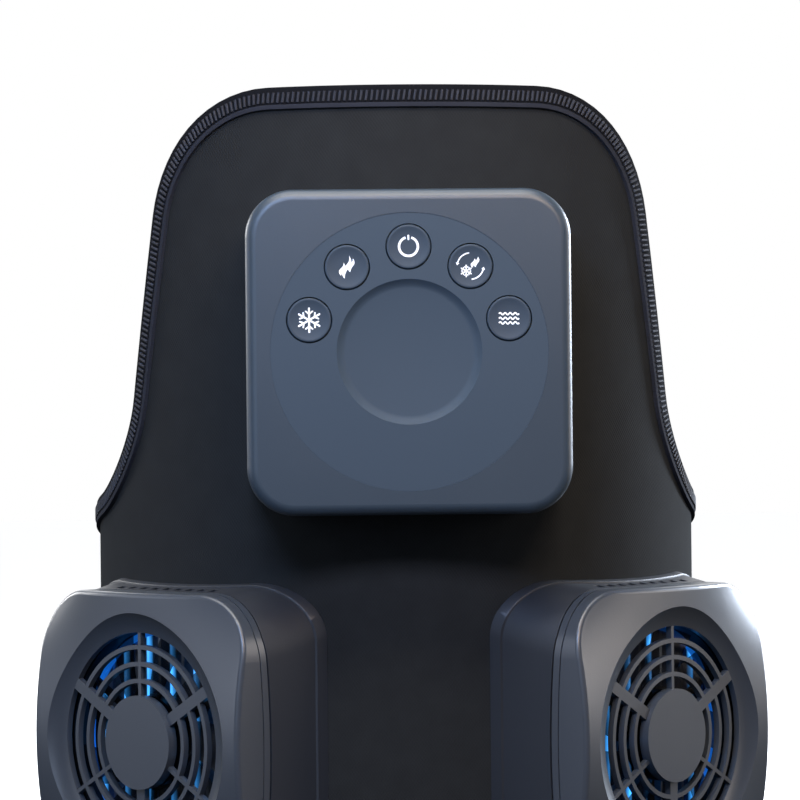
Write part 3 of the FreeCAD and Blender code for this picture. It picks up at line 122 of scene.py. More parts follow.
# one material with its shader, and the nodes that feed it
class Finish:
    def __init__(self, name, colour, roughness, metallic=0.0, sheen=0.0, specular=0.5):
        self.material = bpy.data.materials.new(name)
        self.material.use_nodes = True
        self.material.diffuse_color = linear(colour)
        self.tree = self.material.node_tree
        self.shader = self.tree.nodes["Principled BSDF"]
        for key, value in (("Base Color", linear(colour)), ("Roughness", roughness), ("Metallic", metallic),
                           ("Sheen Weight", sheen), ("Specular IOR Level", specular)):
            self.shader.inputs[key].default_value = value

    def feed(self, socket, value):
        if isinstance(value, Wire):
            self.tree.links.new(value.socket, socket)
        elif isinstance(value, bpy.types.NodeSocket):
            self.tree.links.new(value, socket)
        else:
            socket.default_value = value

    def node(self, kind, settings, sockets):
        made = self.tree.nodes.new(kind)
        for key, value in settings.items():
            setattr(made, key, value)
        for key, value in sockets.items():
            self.feed(made.inputs[key], value)
        return made

    def drive(self, name, value):
        self.feed(self.shader.inputs[name], value)

    # where on the piece: its own coordinates, or its flat pattern
    def place(self, flat=False):
        if flat:
            return self.node("ShaderNodeUVMap", {"uv_map": "flat"}, {}).outputs[0]
        return self.node("ShaderNodeTexCoord", {}, {}).outputs["Object"]

    def along(self, flat=False):
        apart = self.node("ShaderNodeSeparateXYZ", {}, {0: self.place(flat)})
        return [Wire(self, apart.outputs[i]) for i in range(3)]

    def cloud(self, scale, detail=2.0, flat=False):
        texture = self.node("ShaderNodeTexNoise", {},
                            {"Scale": scale, "Detail": detail, "Vector": self.place(flat)})
        return Wire(self, texture.outputs[0])

    def mix(self, amount, first, second):
        made = self.node("ShaderNodeMix", {"data_type": "RGBA"}, {0: amount, 6: first, 7: second})
        return made.outputs[2]          # the colour sockets

    def relief(self, height, depth, strength=1.0):
        made = self.node("ShaderNodeBump", {}, {"Strength": strength, "Distance": depth, "Height": height})
        self.feed(self.shader.inputs["Normal"], made.outputs[0])


# noise scales, and how uneven the gloss is
surface = {"grain": 2600, "wear": 45, "metalWear": 60, "wearRange": 0.08}


# moulded plastic: fine grain and slightly uneven gloss
def plastic(name, colour, roughness, grain=0.00002, specular=0.5):
    made = Finish(name, colour, roughness, specular=specular)
    made.relief(made.cloud(surface["grain"]), grain, 0.6)
    made.drive("Roughness", made.cloud(surface["wear"], 3.0) * surface["wearRange"]
               + (roughness - surface["wearRange"] / 2))
    return made


def metal(name, colour, roughness):
    made = Finish(name, colour, roughness, metallic=1.0)
    made.drive("Roughness", made.cloud(surface["metalWear"]) * surface["wearRange"]
               + (roughness - surface["wearRange"] / 2))
    return made


# knitted or woven cloth; pitch is the width of one loop in mm, and the loops are taller than they are wide
def knit(name, colour, lighter, pitch, rise):
    made = Finish(name, colour, 0.85, sheen=0.01, specular=0.02)
    across, up, _ = made.along(flat=True)
    turns = flatUnit / pitch * 2 * math.pi
    loops = (across * turns).sine() * (up * (turns * 0.72)).sine() * 0.5 + 0.5
    fuzz = made.cloud(900, 3.0, flat=True)
    made.relief(loops * 0.7 + fuzz * 0.5, rise, 0.8)
    patches = made.cloud(14, 4.0, flat=True)
    made.drive("Base Color", made.mix(patches * 0.5 + loops * 0.3, linear(colour), linear(lighter)))
    return made


# elastic webbing: ribs across the band, and the weave along it, both with their pitch in mm
def webbing(name, colour, lighter, rib=1.6, weft=0.9):
    made = Finish(name, colour, 0.8, sheen=0.15, specular=0.3)
    across, up, _ = made.along(flat=True)
    ribs = (across * (flatUnit / rib * 2 * math.pi)).sine() * 0.5 + 0.5
    weave = (up * (flatUnit / weft * 2 * math.pi)).sine() * 0.5 + 0.5
    made.relief(ribs * 0.6 + weave * 0.4, 0.00022, 0.9)
    made.drive("Base Color", made.mix(ribs * weave, linear(colour), linear(lighter)))
    return made


# short nylon pile or hooks
def pile(name, colour, lighter, scale):
    made = Finish(name, colour, 0.9, sheen=0.4, specular=0.2)
    tufts = made.cloud(scale, 4.0)
    made.relief(tufts, 0.0004, 1.0)
    made.drive("Base Color", made.mix(tufts, linear(colour), linear(lighter)))
    return made


# the blue light behind the fans: the ring glows, and the fins carry painted light; places and sizes in m,
# from the leg's axis
glow = {
    "ring": "1466c8", "ringStrength": 0.6,
    # the colour, strength, stripes and patches of the painted light on the fins
    "fins": "3a98ec", "paintedFinStrength": 3.4, "finStart": 0.002125, "finPitch": 0.0085, "finFront": 0.0832,
    "finDeep": 0.0013, "finSharp": 12.0, "patch": 120, "patchGain": 2.4, "patchLoss": 0.6,
    "hub": 0.0116, "hubSharp": 2000, "axisHeight": 0.071, "through": 0.4,
}


# painted light: emission stripes along the fins' front edges stand in for the ring's light on them; the pod
# is turned by angle about the leg
def paintedLightFins(name, colour, roughness, angle):
    made = Finish(name, colour, roughness, metallic=1.0)
    right, back, _ = made.along()
    turn = math.radians(angle)
    across = right * math.cos(turn) + back * math.sin(turn)
    depth = right * math.sin(turn) - back * math.cos(turn)
    stripe = ((across - glow["finStart"]) * (2 * math.pi / glow["finPitch"]) + math.pi / 2).sine() * 0.5 + 0.5
    front = ((depth - glow["finFront"]) * (1 / glow["finDeep"]) + 1).clamp()
    uneven = (made.cloud(glow["patch"]) * glow["patchGain"] - glow["patchLoss"]).clamp()
    # painted light: bright stripes on the fins' front edges, in uneven patches
    lit = stripe.power(glow["finSharp"]) * front * uneven
    made.drive("Emission Color", made.mix(lit, (0, 0, 0, 1), linear(glow["fins"])))
    made.shader.inputs["Emission Strength"].default_value = glow["paintedFinStrength"]
    return made


# smoked plastic that lets some light through away from the hub; the axis stands across at height
def smoked(name, colour, roughness, angle):
    made = Finish(name, colour, roughness, specular=0.2)
    right, back, up = made.along()
    turn = math.radians(angle)
    across = right * math.cos(turn) + back * math.sin(turn)
    rise = up - glow["axisHeight"]
    reach = (across.power(2.0) + rise.power(2.0)).power(0.5)
    blade = ((reach - glow["hub"]) * glow["hubSharp"]).clamp()
    made.drive("Alpha", 1 - blade * glow["through"])
    return made


# an even light of its own
def glowing(name, colour, strength):
    made = Finish(name, colour, 0.4)
    made.shader.inputs["Emission Color"].default_value = linear(colour)
    made.shader.inputs["Emission Strength"].default_value = strength
    return made


cloth = {"panel": ("1e1f20", "2b2d2e"), "lining": ("1c1e23", "2a2c32"), "tape": ("101114", "191a1d"),
         "piping": ("22242a", "30323a"), "band": ("101114", "1d1f24"), "hooks": ("0c0d0f", "19191c"),
         "thread": "2a2c33", "seam": "3a3c42"}
tone = {"unit": "2a353f", "unitCase": "15171b", "inlay": "2e3b47", "button": "2b3743", "podCover": "343940",
        "podShell": "1b1f26", "clamp": "1b1c1f", "fan": "060607", "lead": "101113", "battery": "20407a",
        "print": "eef3f8", "sink": "9aa4b2", "board": "14532b", "ceramic": "e6e3da", "foam": "18191b",
        "plate": "c9ccd0", "steel": "b4b6ba", "dullSteel": "8a8784"}
podTurn = 46         # degrees from the front to each pod

finish = {
    "unitCover": plastic("unitCover", tone["unit"], 0.4),
    "unitCase": plastic("unitCase", tone["unitCase"], 0.42),
    "inlay": plastic("inlay", tone["inlay"], 0.68, grain=0.00001, specular=0.3),
    "buttonCap": plastic("buttonCap", tone["button"], 0.62, grain=0.00001, specular=0.3),
    "print": Finish("print", tone["print"], 0.5),
    "podCover": plastic("podCover", tone["podCover"], 0.33),
    "podShell": plastic("podShell", tone["podShell"], 0.5),
    "clamp": plastic("clamp", tone["clamp"], 0.5),
    "fan": plastic("fan", tone["fan"], 0.5, specular=0.2),
    "lead": plastic("lead", tone["lead"], 0.5),
    "battery": plastic("battery", tone["battery"], 0.35),
    "board": plastic("board", tone["board"], 0.4),
    "ceramic": plastic("ceramic", tone["ceramic"], 0.7),
    "foam": plastic("foam", tone["foam"], 0.9),
    "plate": metal("plate", tone["plate"], 0.38),
    "steel": metal("steel", tone["steel"], 0.28),
    "dullSteel": metal("dullSteel", tone["dullSteel"], 0.4),
    "panel": knit("panel", *cloth["panel"], 0.8, 0.00006),
    "lining": pile("lining", *cloth["lining"], 1400),
    "tape": knit("tape", *cloth["tape"], 0.5, 0.00005),
    "piping": knit("piping", *cloth["piping"], 0.5, 0.00004),
    "thread": Finish("thread", cloth["thread"], 0.75, specular=0.2),
    "seam": Finish("seam", cloth["seam"], 0.7, specular=0.3),
    "band": webbing("band", *cloth["band"]),
    "hooks": pile("hooks", *cloth["hooks"], 1900),
    "ring": glowing("ring", glow["ring"], glow["ringStrength"]),
    # the heat sinks carry painted light from the ring along their fins
    "leftSinkPaintedLight": paintedLightFins("leftSinkPaintedLight", tone["sink"], 0.35, -podTurn),
    "rightSinkPaintedLight": paintedLightFins("rightSinkPaintedLight", tone["sink"], 0.35, podTurn),
    "leftBlades": smoked("leftBlades", tone["fan"], 0.4, -podTurn),
    "rightBlades": smoked("rightBlades", tone["fan"], 0.4, podTurn),
}
print("finishes made")

nodeFinish = {
    "neoprene_panel": "panel", "inner_lining": "lining", "edge_binding": "tape", "left_lead": "lead",
    "right_lead": "lead", "upper_strap": "band", "lower_strap": "band", "strap_anchors": "band",
    "upper_hook_tab": "hooks", "lower_hook_tab": "hooks", "loop_patches": "hooks",
    "control_case": "unitCase", "control_cover": "unitCover", "face_inlay": "inlay", "circuit_board": "board",
    "key_switches": "steel", "battery_pack": "battery", "vibration_motor": "steel",
    "vibration_weight": "dullSteel", "charge_port": "steel", "control_screws": "steel",
    "backing_plate": "clamp", "backing_screws": "steel",
    "fan_cover": "podCover", "rear_shell": "podShell", "clamp_frame": "clamp", "pod_screws": "steel",
    "cold_plate": "plate", "thermal_tile": "ceramic", "foam_frame": "foam", "left_heat_sink": "leftSinkPaintedLight",
    "right_heat_sink": "rightSinkPaintedLight", "light_ring": "ring", "fan_frame": "fan", "fan_screws": "steel",
    "fan_motor": "dullSteel", "left_fan_rotor": "leftBlades", "right_fan_rotor": "rightBlades",
    "button": "buttonCap",
}

for name, obj in nodes.items():
    key = name if name in nodeFinish else name.split("_", 1)[1]     # the same on both sides
    obj.data.materials.clear()
    obj.data.materials.append(finish[nodeFinish[key]].material)
print("frame coloured")


# Cloth is cut flat and bent round the leg. In the flat pattern x runs along the wrap, y is the height,
# and z is the distance outwards from the wrap's surface.

# the wrap; radius in m, the rest in mm
wrap = {
    "radius": 0.078, "thick": 3.0,
    "corners": [(64.6, 232, 38), (84.7, 135.7, 32), (163.4, 119, 25), (163.4, 0, 14)],   # along, up, rounding
    "cornerSteps": 14,
    "grid": 3.0, "rows": 6.0,  # between the lines that let the cloth bend
    "tapeWidth": 4.9, "tapeRise": 0.8, "tapeRound": 1.1, "tapeDeep": 5.0, "tapeGap": 0.1,
    "pipingFrom": 4.3, "pipingTo": 5.4, "pipingRise": 1.0, "pipingRound": 0.45, "pipingDeep": 0.5,
    "podHeight": 71.0, "window": 48.4,
}
sharpEdge = 1.2      # radians; what bends more than this is an edge of the cloth


# moves a flat mesh round the leg; x is true to length at the given radius
def bendRound(mesh, radius):
    for vert in mesh.verts:
        angle = vert.co.x / radius
        out = radius + vert.co.z
        vert.co = Vector((out * math.sin(angle), -out * math.cos(angle), vert.co.y))


# the flat pattern's places as a UV map
def keepFlat(mesh):
    layer = mesh.loops.layers.uv.new("flat")
    units = 1000 / flatUnit
    for face in mesh.faces:
        for loop in face.loops:
            loop[layer].uv = (loop.vert.co.x * units, loop.vert.co.y * units)


# cuts a flat mesh along lines, so that it can bend there
def cutAcross(mesh, axis, places):
    normal = Vector((1, 0, 0)) if axis == 0 else Vector((0, 1, 0))
    for place in places:
        bmesh.ops.bisect_plane(mesh, geom=mesh.verts[:] + mesh.edges[:] + mesh.faces[:], dist=0.000001,
                               plane_co=normal * place, plane_no=normal)


# places between two ends, about a step apart
def spaced(low, high, step):
    count = max(1, round((high - low) / step))
    return [low + (high - low) * i / count for i in range(1, count)]


# a second layer of all faces; gives back its corners
def secondLayer(mesh):
    made = bmesh.ops.extrude_face_region(mesh, geom=mesh.faces[:], use_keep_orig=True)
    return [item for item in made["geom"] if isinstance(item, bmesh.types.BMVert)]


def roundEdges(mesh, edges, radius, segments):
    bmesh.ops.bevel(mesh, geom=edges, offset=radius, offset_type="OFFSET", affect="EDGES", segments=segments,
                    profile=0.5, material=-1, clamp_overlap=True)


def sharpEdges(mesh, angle=sharpEdge):
    return [edge for edge in mesh.edges if len(edge.link_faces) == 2 and edge.calc_face_angle(0) > angle]


# makes the object; edges that bend more than smooth degrees stay sharp
def finishPiece(mesh, name, material, body="wrap", smooth=40):
    bmesh.ops.recalc_face_normals(mesh, faces=mesh.faces)
    limit = math.radians(smooth)
    for face in mesh.faces:
        face.smooth = True
    for edge in mesh.edges:
        edge.smooth = len(edge.link_faces) == 2 and edge.calc_face_angle(0) < limit
    data = bpy.data.meshes.new(name)
    mesh.to_mesh(data)
    mesh.free()
    data.materials.append(finish[material].material)
    obj = bpy.data.objects.new(name, data)
    bpy.context.scene.collection.objects.link(obj)
    if body:
        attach(obj, body)
    return obj


# the wrap's outline as one flat face, moved inwards by the inset
def outlineFace(inset):
    mesh = bmesh.new()
    half = wrap["corners"]
    corners = half + [(-x, y, r) for x, y, r in reversed(half)]
    verts = [mesh.verts.new((x / 1000, y / 1000, 0)) for x, y, r in corners]
    mesh.faces.new(reversed(verts))
    for vert, (x, y, r) in zip(verts, corners):
        ends = [(edge.other_vert(vert).co - vert.co).normalized() for edge in vert.link_edges]
        run = r / 1000 / math.tan(ends[0].angle(ends[1]) / 2)
        bmesh.ops.bevel(mesh, geom=[vert], offset=run, offset_type="OFFSET", affect="VERTICES",
                        segments=wrap["cornerSteps"], profile=0.5, material=-1)
    if inset:
        made = bmesh.ops.inset_region(mesh, faces=mesh.faces[:], thickness=inset / 1000, use_even_offset=True,
                                      use_boundary=True)
        bmesh.ops.delete(mesh, geom=made["faces"], context="FACES_ONLY")
        bmesh.ops.delete(mesh, geom=[v for v in mesh.verts if not v.link_faces], context="VERTS")
    return mesh


# a ring of cloth that follows the outline, between two insets
def outlineRing(fromInset, toInset, low, high, rounding):
    mesh = outlineFace(fromInset)
    made = bmesh.ops.inset_region(mesh, faces=mesh.faces[:], thickness=(toInset - fromInset) / 1000,
                                  use_even_offset=True, use_boundary=True)
    bmesh.ops.delete(mesh, geom=[f for f in mesh.faces if f not in made["faces"]], context="FACES_ONLY")
    bmesh.ops.delete(mesh, geom=[e for e in mesh.edges if not e.link_faces], context="EDGES")
    reach = wrap["corners"][2][0] / 1000
    cutAcross(mesh, 0, spaced(-reach, reach, wrap["grid"] / 1000))
    bmesh.ops.translate(mesh, verts=mesh.verts, vec=(0, 0, low / 1000))
    upper = set(secondLayer(mesh))
    bmesh.ops.translate(mesh, verts=list(upper), vec=(0, 0, (high - low) / 1000))
    bmesh.ops.recalc_face_normals(mesh, faces=mesh.faces)
    rims = [edge for edge in sharpEdges(mesh) if all(vert in upper for vert in edge.verts)]
    roundEdges(mesh, rims, rounding / 1000, 5)
    return mesh


# the neoprene, with a window under each pod
def makePanel():
    mesh = outlineFace(wrap["tapeWidth"] + wrap["tapeGap"])
    reach = wrap["corners"][2][0] / 1000
    middle = math.radians(podTurn) * wrap["radius"]
    half = wrap["window"] / 2000
    sides = [sign * middle + edge for sign in (-1, 1) for edge in (-half, half)]
    levels = [wrap["podHeight"] / 1000 + edge for edge in (-half, half)]
    cutAcross(mesh, 0, spaced(-reach, reach, wrap["grid"] / 1000) + sides)
    cutAcross(mesh, 1, spaced(0, wrap["corners"][0][1] / 1000, wrap["rows"] / 1000) + levels)
    inside = [face for face in mesh.faces
              if abs(abs(face.calc_center_median().x) - middle) < half
              and levels[0] < face.calc_center_median().y < levels[1]]
    bmesh.ops.delete(mesh, geom=inside, context="FACES")
    bmesh.ops.triangulate(mesh, faces=[face for face in mesh.faces if len(face.verts) > 4])
    keepFlat(mesh)
    bmesh.ops.translate(mesh, verts=secondLayer(mesh), vec=(0, 0, -wrap["thick"] / 1000))
    bendRound(mesh, wrap["radius"])
    panel = finishPiece(mesh, "neoprenePanel", "panel")
    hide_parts("neoprene_panel")


# the tape over the edge, and the thin piping inside it
def makeTape():
    mesh = outlineRing(0, wrap["tapeWidth"], -wrap["tapeDeep"], wrap["tapeRise"], wrap["tapeRound"])
    keepFlat(mesh)
    bendRound(mesh, wrap["radius"])
    tape = finishPiece(mesh, "edgeTape", "tape")
    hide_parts("edge_binding")
    mesh = outlineRing(wrap["pipingFrom"], wrap["pipingTo"], -wrap["pipingDeep"], wrap["pipingRise"],
                       wrap["pipingRound"])
    keepFlat(mesh)
    bendRound(mesh, wrap["radius"])
    piping = finishPiece(mesh, "tapePiping", "piping")


makePanel()
makeTape()
print("panel and tape made")


# stitches across the tape; sizes in mm, and length and lean as shares
stitch = {"pitch": 1.3, "from": 1.0, "to": 4.1, "long": 0.8, "lean": 0.15, "thick": 0.72, "rise": 0.1}


# the outline's points in order, an inset inwards
def outlinePath(inset):
    mesh = outlineFace(inset)
    mesh.faces.ensure_lookup_table()
    path = [vert.co.copy() for vert in mesh.faces[0].verts]
    mesh.free()
    return path


# points at an even pitch along a closed path, each with the direction of travel
def evenly(path, pitch):
    closed = path + [path[0]]
    total = sum((b - a).length for a, b in zip(closed, closed[1:]))
    step = total / round(total / pitch)
    left = 0.0
    places = []
    for a, b in zip(closed, closed[1:]):
        run = (b - a).length
        while left < run - 0.0000001:   # the last place isn't set twice
            places.append((a.lerp(b, left / run), (b - a).normalized()))
            left += step
        left -= run
    return places


# one short thread that lies on the flat pattern
def layThread(mesh, at, along, length, thick):
    made = bmesh.ops.create_cone(mesh, cap_ends=True, segments=6, radius1=thick / 2, radius2=thick / 2,
                                 depth=length)
    outwards = Vector((0, 0, 1))
    turn = Matrix((along.cross(outwards), outwards, along)).transposed()
    bmesh.ops.rotate(mesh, verts=made["verts"], cent=(0, 0, 0), matrix=turn)
    bmesh.ops.translate(mesh, verts=made["verts"], vec=at)


def makeStitches():
    mesh = bmesh.new()
    length = (stitch["to"] - stitch["from"]) * stitch["long"] / 1000
    height = (wrap["tapeRise"] + stitch["rise"]) / 1000
    for spot, travel in evenly(outlinePath((stitch["from"] + stitch["to"]) / 2), stitch["pitch"] / 1000):
        side = Vector((-travel.y, travel.x, 0))
        layThread(mesh, (spot.x, spot.y, height), (side + travel * stitch["lean"]).normalized(), length,
                  stitch["thick"] / 1000)
    bendRound(mesh, wrap["radius"])
    thread = finishPiece(mesh, "tapeStitches", "thread", smooth=70)


makeStitches()
print("stitches made")


# elastic straps; sizes in mm, places round the leg in degrees from the front
strap = {
    "width": 38.0, "thick": 1.9, "ironed": 0.5, "inner": 79.9, "heights": {"upper": 86.0, "lower": 30.0},
    "hinge": 112.5, "sewn": 101.3, "end": -262.0, "pivot": 80.9, "bend": 4.0,
    "columns": 2.5, "rows": 8.0,                            # between the lines that let a band bend
    "down": 1.8, "downRun": 6.0,                            # how the sewn end goes down to the wrap
    "seamInset": 2.6, "seamPitch": 2.6, "seamThick": 0.6, "seamLong": 0.72, "endSeam": (2, 20),
    "sewnSeam": (1.8, 2),
    "patchOver": 0.3, "patchRise": 0.15, "patchFall": 1.6, "patchRun": 8.0, "patchDeep": 3.65,
    "patchColumns": 1.0, "patchRows": 12.0,
}
strapRadius = (strap["inner"] + strap["thick"]) / 1000


# place along the flat pattern of an angle round the leg
def strapPlace(angle):
    return math.radians(angle) * strapRadius


# goes from 0 to 1 without a kink
def ease(part):
    part = max(0.0, min(1.0, part))
    return part * part * (3 - 2 * part)


# one elastic band from its sewn end on the left round the back to the right; it bends at the stitching
def makeStrap(name):
    start, end, hinge = strapPlace(-strap["sewn"]), strapPlace(strap["end"]), strapPlace(-strap["hinge"])
    half = strap["width"] / 2000
    middle = strap["heights"][name] / 1000
    mesh = bmesh.new()
    mesh.faces.new([mesh.verts.new((x, middle + y, 0))
                    for x, y in ((end, -half), (start, -half), (start, half), (end, half))])
    cutAcross(mesh, 0, spaced(end, start, strap["columns"] / 1000))
    cutAcross(mesh, 1, spaced(middle - half, middle + half, strap["rows"] / 1000))
    keepFlat(mesh)
    bmesh.ops.translate(mesh, verts=secondLayer(mesh), vec=(0, 0, -strap["thick"] / 1000))
    bmesh.ops.recalc_face_normals(mesh, faces=mesh.faces)
    roundEdges(mesh, sharpEdges(mesh), strap["ironed"] / 1000, 3)
    for vert in mesh.verts:             # the sewn end lies down on the wrap
        vert.co.z -= ease((vert.co.x - hinge) / strap["downRun"] * 1000) * strap["down"] / 1000
    bendRound(mesh, strapRadius)
    band = finishPiece(mesh, name + "Band", "band", None)
    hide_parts(name + "_strap")
    return band


# height over the strap's outer face of the patch that holds the sewn end, at a distance from the bend
def patchTop(distance):
    return (strap["patchRise"] - strap["patchFall"] * ease(distance * 1000 / strap["patchRun"])) / 1000


# both sewn ends lie under a patch of the same webbing
def makePatches():
    far, near = strapPlace(-strap["hinge"]), strapPlace(-strap["sewn"])
    half = (strap["width"] / 2 + strap["patchOver"]) / 1000
    levels = [height / 1000 for height in strap["heights"].values()]
    mesh = bmesh.new()
    for level in levels:
        mesh.faces.new([mesh.verts.new((x, level + y, 0))
                        for x, y in ((far, -half), (near, -half), (near, half), (far, half))])
    cutAcross(mesh, 0, spaced(far, near, strap["patchColumns"] / 1000))
    cutAcross(mesh, 1, [level + row * strap["patchRows"] / 1000 for level in levels for row in (-1, 0, 1)])
    keepFlat(mesh)
    lower = set(secondLayer(mesh))
    for vert in mesh.verts:
        vert.co.z = -strap["patchDeep"] / 1000 if vert in lower else patchTop(vert.co.x - far)
    bmesh.ops.recalc_face_normals(mesh, faces=mesh.faces)
    roundEdges(mesh, sharpEdges(mesh), strap["ironed"] / 1000, 3)
    bendRound(mesh, strapRadius)
    patches = finishPiece(mesh, "sewnPatches", "band")
    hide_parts("strap_anchors")


# short threads round a rectangle on a strap, between two angles to the left of the front
def makeSeam(name, first, last, heights, body):
    half = (strap["width"] / 2 - strap["seamInset"]) / 1000
    pitch = strap["seamPitch"] / 1000
    hinge = strapPlace(-strap["hinge"])
    ends = strapPlace(-first), strapPlace(-last)
    mesh = bmesh.new()
    for height in heights:
        low, high = height / 1000 - half, height / 1000 + half
        path = [Vector((x, y, 0))
                for x, y in ((ends[0], low), (ends[1], low), (ends[1], high), (ends[0], high))]
        for spot, travel in evenly(path, pitch):
            lift = patchTop(spot.x - hinge) if body == "wrap" else 0.0
            layThread(mesh, (spot.x, spot.y, lift), travel, pitch * strap["seamLong"],
                      strap["seamThick"] / 1000)
    bendRound(mesh, strapRadius)
    seam = finishPiece(mesh, name, "seam", body, smooth=70)


for strapName, height in strap["heights"].items():
    band = makeStrap(strapName)
    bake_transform(band)
    near, far = (-strap["end"] - step for step in strap["endSeam"])
    makeSeam(strapName + "EndSeam", near, far, [height], strapName + "_strap")
makePatches()
makeSeam("sewnSeams", strap["sewn"] + strap["sewnSeam"][0], strap["hinge"] - strap["sewnSeam"][1],
         strap["heights"].values(), "wrap")
print("straps made")


# the control unit; sizes in mm
unit = {"height": 166.5, "face": 98.9, "pocket": 33.28, "pocketWall": 0.2,
        "recessBelow": 97.9, "recessRim": 17.4, "recessFlat": 15.2, "deeper": 0.3}


# stands a mesh drawn in mm, x across, y up and z towards the front, before the unit's centre
def faceFront(mesh, across, up):
    for vert in mesh.verts:
        x, y, z = vert.co
        vert.co = Vector((x + across, -z, y + up + unit["height"]))
    bmesh.ops.scale(mesh, verts=mesh.verts, vec=(0.001, 0.001, 0.001))


# a full turn of a profile given as (radius, height) in mm
def turned(profile, steps):
    mesh = bmesh.new()
    verts = [mesh.verts.new((radius, 0, height)) for radius, height in profile]
    edges = [mesh.edges.new(pair) for pair in zip(verts, verts[1:])]
    bmesh.ops.spin(mesh, geom=verts + edges, cent=(0, 0, 0), axis=(0, 0, 1), angle=2 * math.pi, steps=steps,
                   use_merge=True)
    bmesh.ops.remove_doubles(mesh, verts=mesh.verts, dist=0.0005)
    bmesh.ops.recalc_face_normals(mesh, faces=mesh.faces)
    return mesh


# a merged copy of a frame node's mesh
def copied(name):
    mesh = bmesh.new()
    mesh.from_mesh(nodes[name].data)
    bmesh.ops.remove_doubles(mesh, verts=mesh.verts, dist=0.000002)
    return mesh


# the inlay fills its pocket, and its recess has a soft wall
def makeInlay():
    mesh = copied("face_inlay")
    rim, flat, pocket = unit["recessRim"] / 1000, unit["recessFlat"] / 1000, unit["pocket"] / 1000
    for vert in mesh.verts:
        spot = Vector((vert.co.x, vert.co.z - unit["height"] / 1000))
        reach = spot.length
        if reach > pocket - unit["pocketWall"] / 1000:
            spot *= pocket / reach
            vert.co.x, vert.co.z = spot.x, spot.y + unit["height"] / 1000
        elif reach < rim and vert.co.y < -unit["recessBelow"] / 1000:
            vert.co.y += unit["deeper"] / 1000 * ease((rim - reach) / (rim - flat))
    inlay = finishPiece(mesh, "inlayDisc", "inlay", smooth=30)
    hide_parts("face_inlay")


# the button caps; sizes in mm, heights from the leg's axis
button = {
    "circle": 25.1, "pitch": 36.0, "radius": 5.3, "rim": 0.3, "rimAngles": (0.0, 0.52, 1.05, 1.57),
    "dish": 4.75, "depth": 0.4, "bowl": 3.2, "dishRings": (0, 0.9, 1.8, 2.7, 3.3, 3.8, 4.2, 4.5, 4.75),
    "flange": 6.3, "lip": 96.6, "flangeThick": 1.0, "stem": 2.0, "stemEnd": 94.25, "steps": 64,
}


def dishDepth(reach):
    return button["depth"] * (1 - min(1.0, reach / button["dish"]) ** button["bowl"])


def makeButton(name, across, up):
    face, radius, rim, lip = unit["face"], button["radius"], button["rim"], button["lip"]
    profile = [(reach, face - dishDepth(reach)) for reach in button["dishRings"]]
    profile += [(radius - rim + rim * math.sin(angle), face - rim + rim * math.cos(angle))
                for angle in button["rimAngles"]]
    profile += [(radius, lip), (button["flange"], lip), (button["flange"], lip - button["flangeThick"]),
                (button["stem"], lip - button["flangeThick"]), (button["stem"], button["stemEnd"]),
                (0, button["stemEnd"])]
    mesh = turned(profile, button["steps"])
    faceFront(mesh, across, up)
    cap = finishPiece(mesh, name + "Cap", "buttonCap", name + "_button", smooth=35)
    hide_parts(name + "_button")


# The symbols; sizes in mm from the button's centre. A flake or tongue is given as (across, up, size, width),
# where a tongue's width is a share of its size.
symbol = {
    "thick": 0.05, "grid": 0.6, "gridLines": 4,
    "flakeTurn": 30, "twigAt": 0.52, "twigAngle": 52, "twigLong": 0.36, "twigWidth": 0.8,
    "tongueSteps": 12, "tongueFull": 0.8, "tongueSway": 0.09,
    "coldFlake": (0, 0, 2.8, 0.48),
    "heatLean": -12, "heatTongues": ((-1.1, -0.45, 3.2, 0.13), (0.0, 0.0, 5.6, 0.1), (1.1, 0.45, 3.4, 0.13)),
    "powerRadius": 2.25, "powerArc": (108, 432), "powerRing": 0.55,
    "powerBar": (1.75, 2.6), "powerStroke": 0.45,
    "cycleFlake": (-1.0, -1.15, 1.35, 0.3), "cycleLean": -14,
    "cycleTongues": ((0.75, 0.75, 2.3, 0.17), (1.5, 1.0, 2.6, 0.17)),
    "cycleRadius": 3.15, "cycleStarts": (95, 275), "cycleTurn": 70, "cycleStroke": 0.3,
    "cycleTip": (0.6, 0.45),
    "waveHalf": 2.4, "waveRows": (-1.1, 0.0, 1.1), "waveSwing": 0.24, "waves": 4, "waveSteps": 48,
    "waveStroke": 0.34,
}


# a straight stroke between two points with round ends
def stroke(mesh, a, b, width):
    a, b = Vector(a), Vector(b)
    along = (b - a).normalized()
    made = bmesh.ops.create_circle(mesh, cap_ends=True, segments=12, radius=width / 2)
    turn = Matrix.Rotation(math.atan2(along.y, along.x), 3, "Z")
    bmesh.ops.rotate(mesh, verts=made["verts"], cent=(0, 0, 0), matrix=turn)
    for vert in made["verts"]:
        ahead = vert.co.x * along.x + vert.co.y * along.y > 0
        vert.co += (b if ahead else a).to_3d()


# a line of points as one ribbon
def ribbon(mesh, points, width):
    points = [Vector(point) for point in points]
    rims = []
    for before, point, after in zip(points[:1] + points, points, points[1:] + points[-1:]):
        travel = (after - before).normalized()
        side = Vector((-travel.y, travel.x)) * width / 2
        rims.append([mesh.verts.new((point + side).to_3d()), mesh.verts.new((point - side).to_3d())])
    for (a, b), (c, d) in zip(rims, rims[1:]):
        mesh.faces.new((a, b, d, c))


# count points on an arc; angles in degrees
def arcPoints(radius, start, end, count):
    angles = [math.radians(start + (end - start) * i / (count - 1)) for i in range(count)]
    return [(radius * math.cos(angle), radius * math.sin(angle)) for angle in angles]


